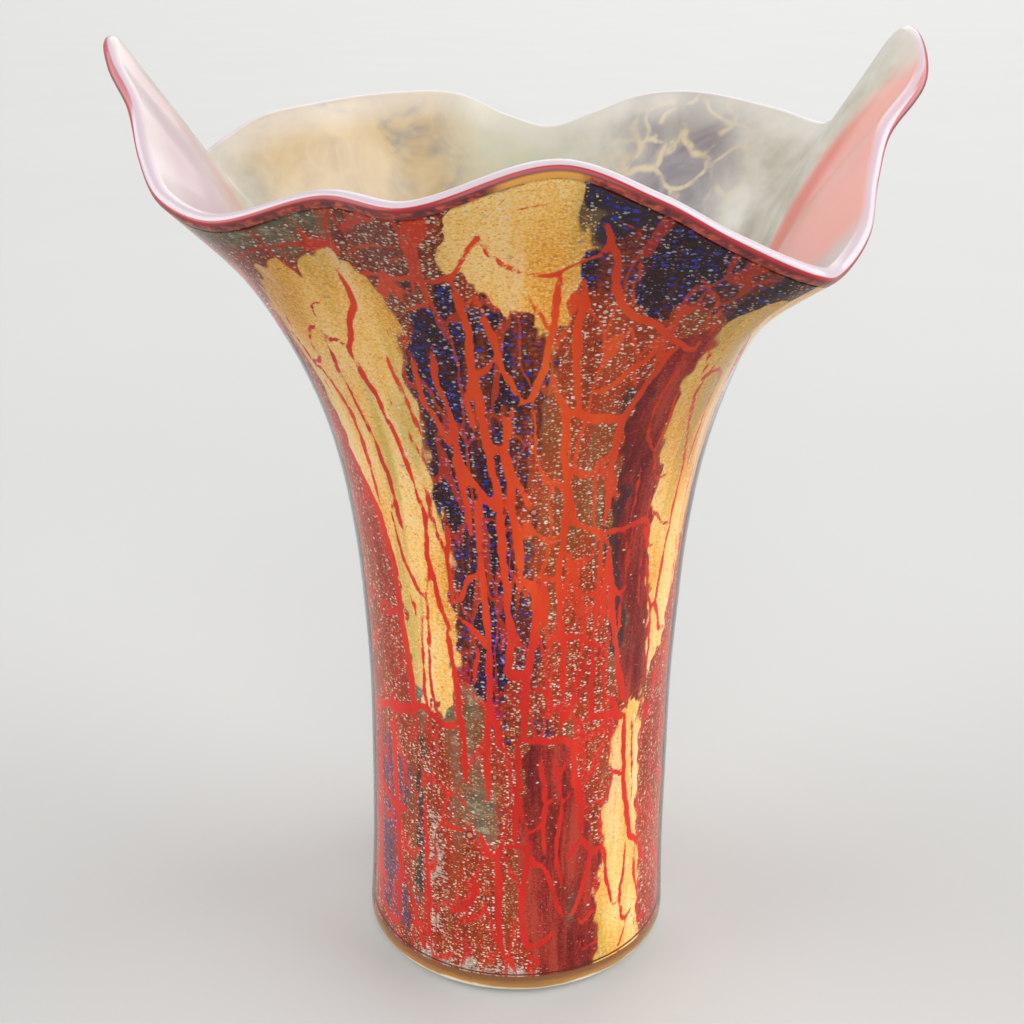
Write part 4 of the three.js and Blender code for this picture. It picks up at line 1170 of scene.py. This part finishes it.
def crackle_glass():
    """The shard layer: broken leaf in patches of colour, with veins, specks, bubbles and a dark top band."""
    g = Graph("crackle_glass")
    n = shard_noises(g)
    masks = shard_masks(g, n)
    blueness = g.math("MAXIMUM", masks["cobalt"], masks["dusk"])
    blueness = g.math("MAXIMUM", blueness, g.times(masks["violet"], 0.8))
    leafy = g.add(1, g.times(g.math("MAXIMUM", masks["maroon"], g.times(masks["green"], 0.5)), -0.97))
    ground = ground_paint(g, n)
    crack, plain, in_crack = fine_cracks(g, n, masks)
    fine = g.add(g.noise(n.place, 420, 3, 0.6), -0.5)
    ragged = g.add(g.times(fine, 1.1), g.times(g.add(n.patchy, -0.5), 0.8))
    vein = g.add(g.field("vein"), ragged)
    near_vein = g.math("MAXIMUM", g.step(vein, 2.6, 0.4), g.times(g.step(crack, 0.24, 0.06), plain))

    colour = leaf_colour(g, n, masks, ground)
    colour = with_fine_specks(g, n, masks, blueness, leafy, colour)
    colour = with_blue_dashes(g, n, blueness, colour)
    colour = with_bright_specks(g, n, masks, blueness, leafy, near_vein, colour)

    # The ground shows in the cracks and veins.
    colour = g.mix(in_crack, colour, ground)
    colour = g.mix(g.step(vein, 0.26, -0.2), colour, ground)

    # Air bubbles: a pale middle in a dark ring.
    bubble = g.field("bubble")
    colour = g.mix(g.times(g.step(bubble, 1.9, 1.3), 0.75), colour, "#3A1A12")
    colour = g.mix(g.step(bubble, 1.15, 0.8), colour, "#E88A70")

    # The dark red band under the lip.
    runs = g.add(g.noise(g.stretch(n.place, 1, 1, 0.5), 130, 3, 0.6), -0.5)
    drop = g.add(g.field("drop"), g.times(runs, 6))
    colour = g.mix(g.times(g.step(drop, 5.4, 3.0), 0.75), colour, "#5E0C14")

    bump = g.node("ShaderNodeBump", None, {"Strength": 0.18, "Distance": 0.0004, "Height": n.grain})
    shader = g.node("ShaderNodeBsdfPrincipled", None, {
        "Base Color": colour, "Roughness": 0.45, "Specular IOR Level": 0.06, "Normal": bump.outputs[0],
    })
    return g.finish(shader.outputs[0])


def ground_glass():
    g = Graph("red_ground_glass")
    mottle = g.noise(g.place(), 60, 4, 0.6)
    red = g.ramp(mottle, ((0.3, "#B01C14"), (0.7, "#DC3A20")))
    amber = g.ramp(mottle, ((0.3, "#A8742A"), (0.7, "#D9A650")))
    colour = g.mix(g.step(g.field("side"), 0.2, 0.8), amber, red)
    shader = g.node("ShaderNodeBsdfPrincipled", None, {"Base Color": colour, "Roughness": 0.3})
    return g.finish(shader.outputs[0])


def opal_glass():
    """The cased white lining: the shards' colours show through as soft blotches between pale veins."""
    g = Graph("opal_glass")
    place = g.place()
    drop = g.field("drop")
    soft = g.noise(place, 26, 3, 0.55)
    mottle = g.noise(place, 85, 3, 0.55)
    cloud = g.noise(place, 48, 4, 0.6, 0.8)
    cream = g.ramp(mottle, ((0.3, "#B4AE9E"), (0.5, "#C6C1B2"), (0.7, "#D6D3C8")))
    tints = {
        "ochre": (g.ramp(cloud, ((0.38, "#998A78"), (0.47, "#BCA074"), (0.62, "#CDB080"))), 0.85),
        "mint": (g.mix(soft, "#B0B294", "#CFCDB6"), 0.8),
        "mauve": (g.ramp(cloud, ((0.36, "#6C6268"), (0.5, "#857B7E"), (0.64, "#9A938C"))), 0.95),
        "rose": (g.mix(soft, "#B8929C", "#CDBABE"), 0.9),
        "blush": (g.mix(soft, "#E8968A", "#ECB2A8"), 0.95),
        "crease": ("#D66C5C", 0.7),
        "stripe": ("#BE8C86", 0.6),
    }
    colour = cream
    for name, (paint, amount) in tints.items():
        colour = g.mix(g.times(g.field(name), amount), colour, paint)

    # Pale veins round the cells, clearest over the dark blotch.
    net = g.cells(g.warp(place, 50, 0.02), 78, "DISTANCE_TO_EDGE").outputs["Distance"]
    wall_field = g.add(g.field("mauve"), g.times(g.add(g.field("ochre"), g.field("mint")), 0.3))
    veined = g.times(g.times(g.step(net, 0.13, 0.02), wall_field), g.step(mottle, 0.34, 0.52))
    colour = g.mix(g.times(veined, 0.85), colour, "#D2BE96")

    colour = g.mix(1.0, colour, OPAL_DEPTH, "MULTIPLY")

    # Whiter towards the lip, then the lavender lip with its red line outside, which turns in over the ears.
    whitening = g.times(g.step(drop, -16, -3), g.add(0.5, g.times(g.field("blush"), -0.45)))
    colour = g.mix(whitening, colour, "#C4BEB8")
    colour = g.mix(g.times(g.step(drop, -1.9, -0.3), 0.85), colour, "#B8A8B2")
    outer = g.add(drop, g.times(g.field("ear"), 0.32))
    shade = g.ramp(g.step(outer, 0.2, 3.2), ((0.0, "#A01620"), (0.16, "#6C0E18"), (0.5, "#4A0A12")))
    streaks = g.noise(g.stretch(place, 1, 1, 2.2), 300, 4, 0.65)
    body = g.ramp(streaks, ((0.36, "#2E1014"), (0.48, "#6A1A16"), (0.62, "#A8462A")))
    body = g.mix(g.field("lobe"), body, "#C58A38")
    shade = g.mix(g.step(outer, 0.9, 1.8), shade, body)
    colour = g.mix(g.step(outer, 0.2, 0.36), colour, shade)
    shader = g.node("ShaderNodeBsdfPrincipled", None, {
        "Base Color": colour, "Roughness": 0.3, "Specular IOR Level": 0.4,
        "Coat Weight": 0.3, "Coat Roughness": 0.08,
    })
    return g.finish(shader.outputs[0])


def casing_glass():
    """Clear glass: its outer skin mirrors at grazing angles, and it lets everything through face on."""
    g = Graph("clear_casing_glass")
    wave = g.noise(g.place(), 45, 2, 0.5)
    bump = g.node("ShaderNodeBump", None, {"Strength": 0.12, "Distance": 0.002, "Height": wave})
    fresnel = g.node("ShaderNodeFresnel", None, {"IOR": 1.33, "Normal": bump.outputs[0]})
    clear = g.node("ShaderNodeBsdfTransparent", None, {"Color": (1.0, 1.0, 1.0, 1.0)})
    gloss = g.node("ShaderNodeBsdfGlossy", None, {"Color": (1.0, 1.0, 1.0, 1.0), "Roughness": 0.05,
                                                  "Normal": bump.outputs[0]})
    mirrored = g.times(fresnel.outputs[0], g.step(g.field("skin"), 0.4, 0.6))
    mixed = g.node("ShaderNodeMixShader", None, {0: mirrored, 1: clear.outputs[0], 2: gloss.outputs[0]})
    return g.finish(mixed.outputs[0])


def base_glass():
    """Thick clear glass with an amber cast, paler low down, where the pale band is a painted highlight along
    the foot's lower rim. It lets some of the floor show through.
    """
    g = Graph("amber_base_glass")
    place = g.place()
    seeds = g.noise(g.stretch(place, 1, 1, 5), 70, 3, 0.6)
    height = g.add(g.node("ShaderNodeSeparateXYZ", None, {0: place}).outputs[2], g.times(seeds, 0.003))
    # Painted highlight: the near-white stops low on the foot stand in for its bright lower rim; above them is
    # the amber of the glass.
    amber = g.ramp(g.step(height, 0.0, 0.0085), (
        (0.36, "#FDF8EC"), (0.47, "#EAD3A4"), (0.56, "#B9843A"), (0.75, "#A87030"),
        (0.95, "#7E4A1C")))
    solid = g.node("ShaderNodeBsdfPrincipled", None, {
        "Base Color": amber, "Roughness": 0.06, "IOR": 1.5, "Coat Weight": 0.8, "Coat Roughness": 0.03,
    })
    clear = g.node("ShaderNodeBsdfTransparent", None, {"Color": (0.86, 0.72, 0.5, 1.0)})
    mixed = g.node("ShaderNodeMixShader", None, {0: FOOT_CLARITY, 1: solid.outputs[0], 2: clear.outputs[0]})
    return g.finish(mixed.outputs[0])


def floor_paint():
    g = Graph("studio_floor")
    tone = g.noise(g.place(), 3, 2, 0.5)
    shader = g.node("ShaderNodeBsdfPrincipled", None, {
        "Base Color": g.ramp(tone, ((0.3, "#B4B4B2"), (0.7, "#B6B6B4"))), "Roughness": 0.6,
    })
    return g.finish(shader.outputs[0])


def dress(piece, material, slot, *nodes):
    piece.data.materials.append(material)
    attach(piece, "root")
    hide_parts(*nodes)


def build_vase():
    crackle = crackle_glass()
    for name, piece in shard_pieces().items():
        dress(piece, crackle, SLOTS[name.split("_")[1]], name)
    dress(ground_piece(), ground_glass(), "red_glass", "red_ground")
    dress(lining_piece(), opal_glass(), "opal_glass", "opal_lining")
    dress(casing_piece(), casing_glass(), "clear_glass", "clear_casing")
    dress(base_piece(), base_glass(), "amber_clear_glass", "base_gather")


# Studio.

def build_floor():
    low = CAD_BOX[0].z - FLOOR_DROP
    mesh = bpy.data.meshes.new("studio_floor")
    corners = [(x * FLOOR_HALF, y * FLOOR_HALF, low) for x, y in ((-1, -1), (1, -1), (1, 1), (-1, 1))]
    mesh.from_pydata(corners, [], [(0, 1, 2, 3)])
    floor = bpy.data.objects.new("studio_floor", mesh)
    bpy.context.scene.collection.objects.link(floor)
    mesh.materials.append(floor_paint())


def build_lights():
    for name, heading, elevation, strength in SOFT_LIGHTS:
        light = bpy.data.lights.new(name, "SUN")
        light.energy = strength
        light.angle = math.radians(LIGHT_SPREAD)
        holder = bpy.data.objects.new(name, light)
        holder.rotation_euler = (0, math.radians(90 - elevation), math.radians(heading))
        bpy.context.scene.collection.objects.link(holder)
    world = bpy.data.worlds.new("studio")
    world.use_nodes = True
    world.node_tree.nodes["Background"].inputs["Color"].default_value = WORLD_GREY
    world.node_tree.nodes["Background"].inputs["Strength"].default_value = WORLD_STRENGTH
    bpy.context.scene.world = world


def build_camera():
    camera = bpy.data.cameras.new("camera")
    camera.lens = LENS
    camera.sensor_width = SENSOR
    camera.clip_start = NEAR
    holder = bpy.data.objects.new("camera", camera)
    holder.location = EYE
    holder.rotation_euler = (math.radians(90 - EYE_PITCH), 0, 0)
    bpy.context.scene.collection.objects.link(holder)
    bpy.context.scene.camera = holder


build_vase()
build_floor()
build_lights()
build_camera()
bpy.context.scene.view_settings.view_transform = "Standard"
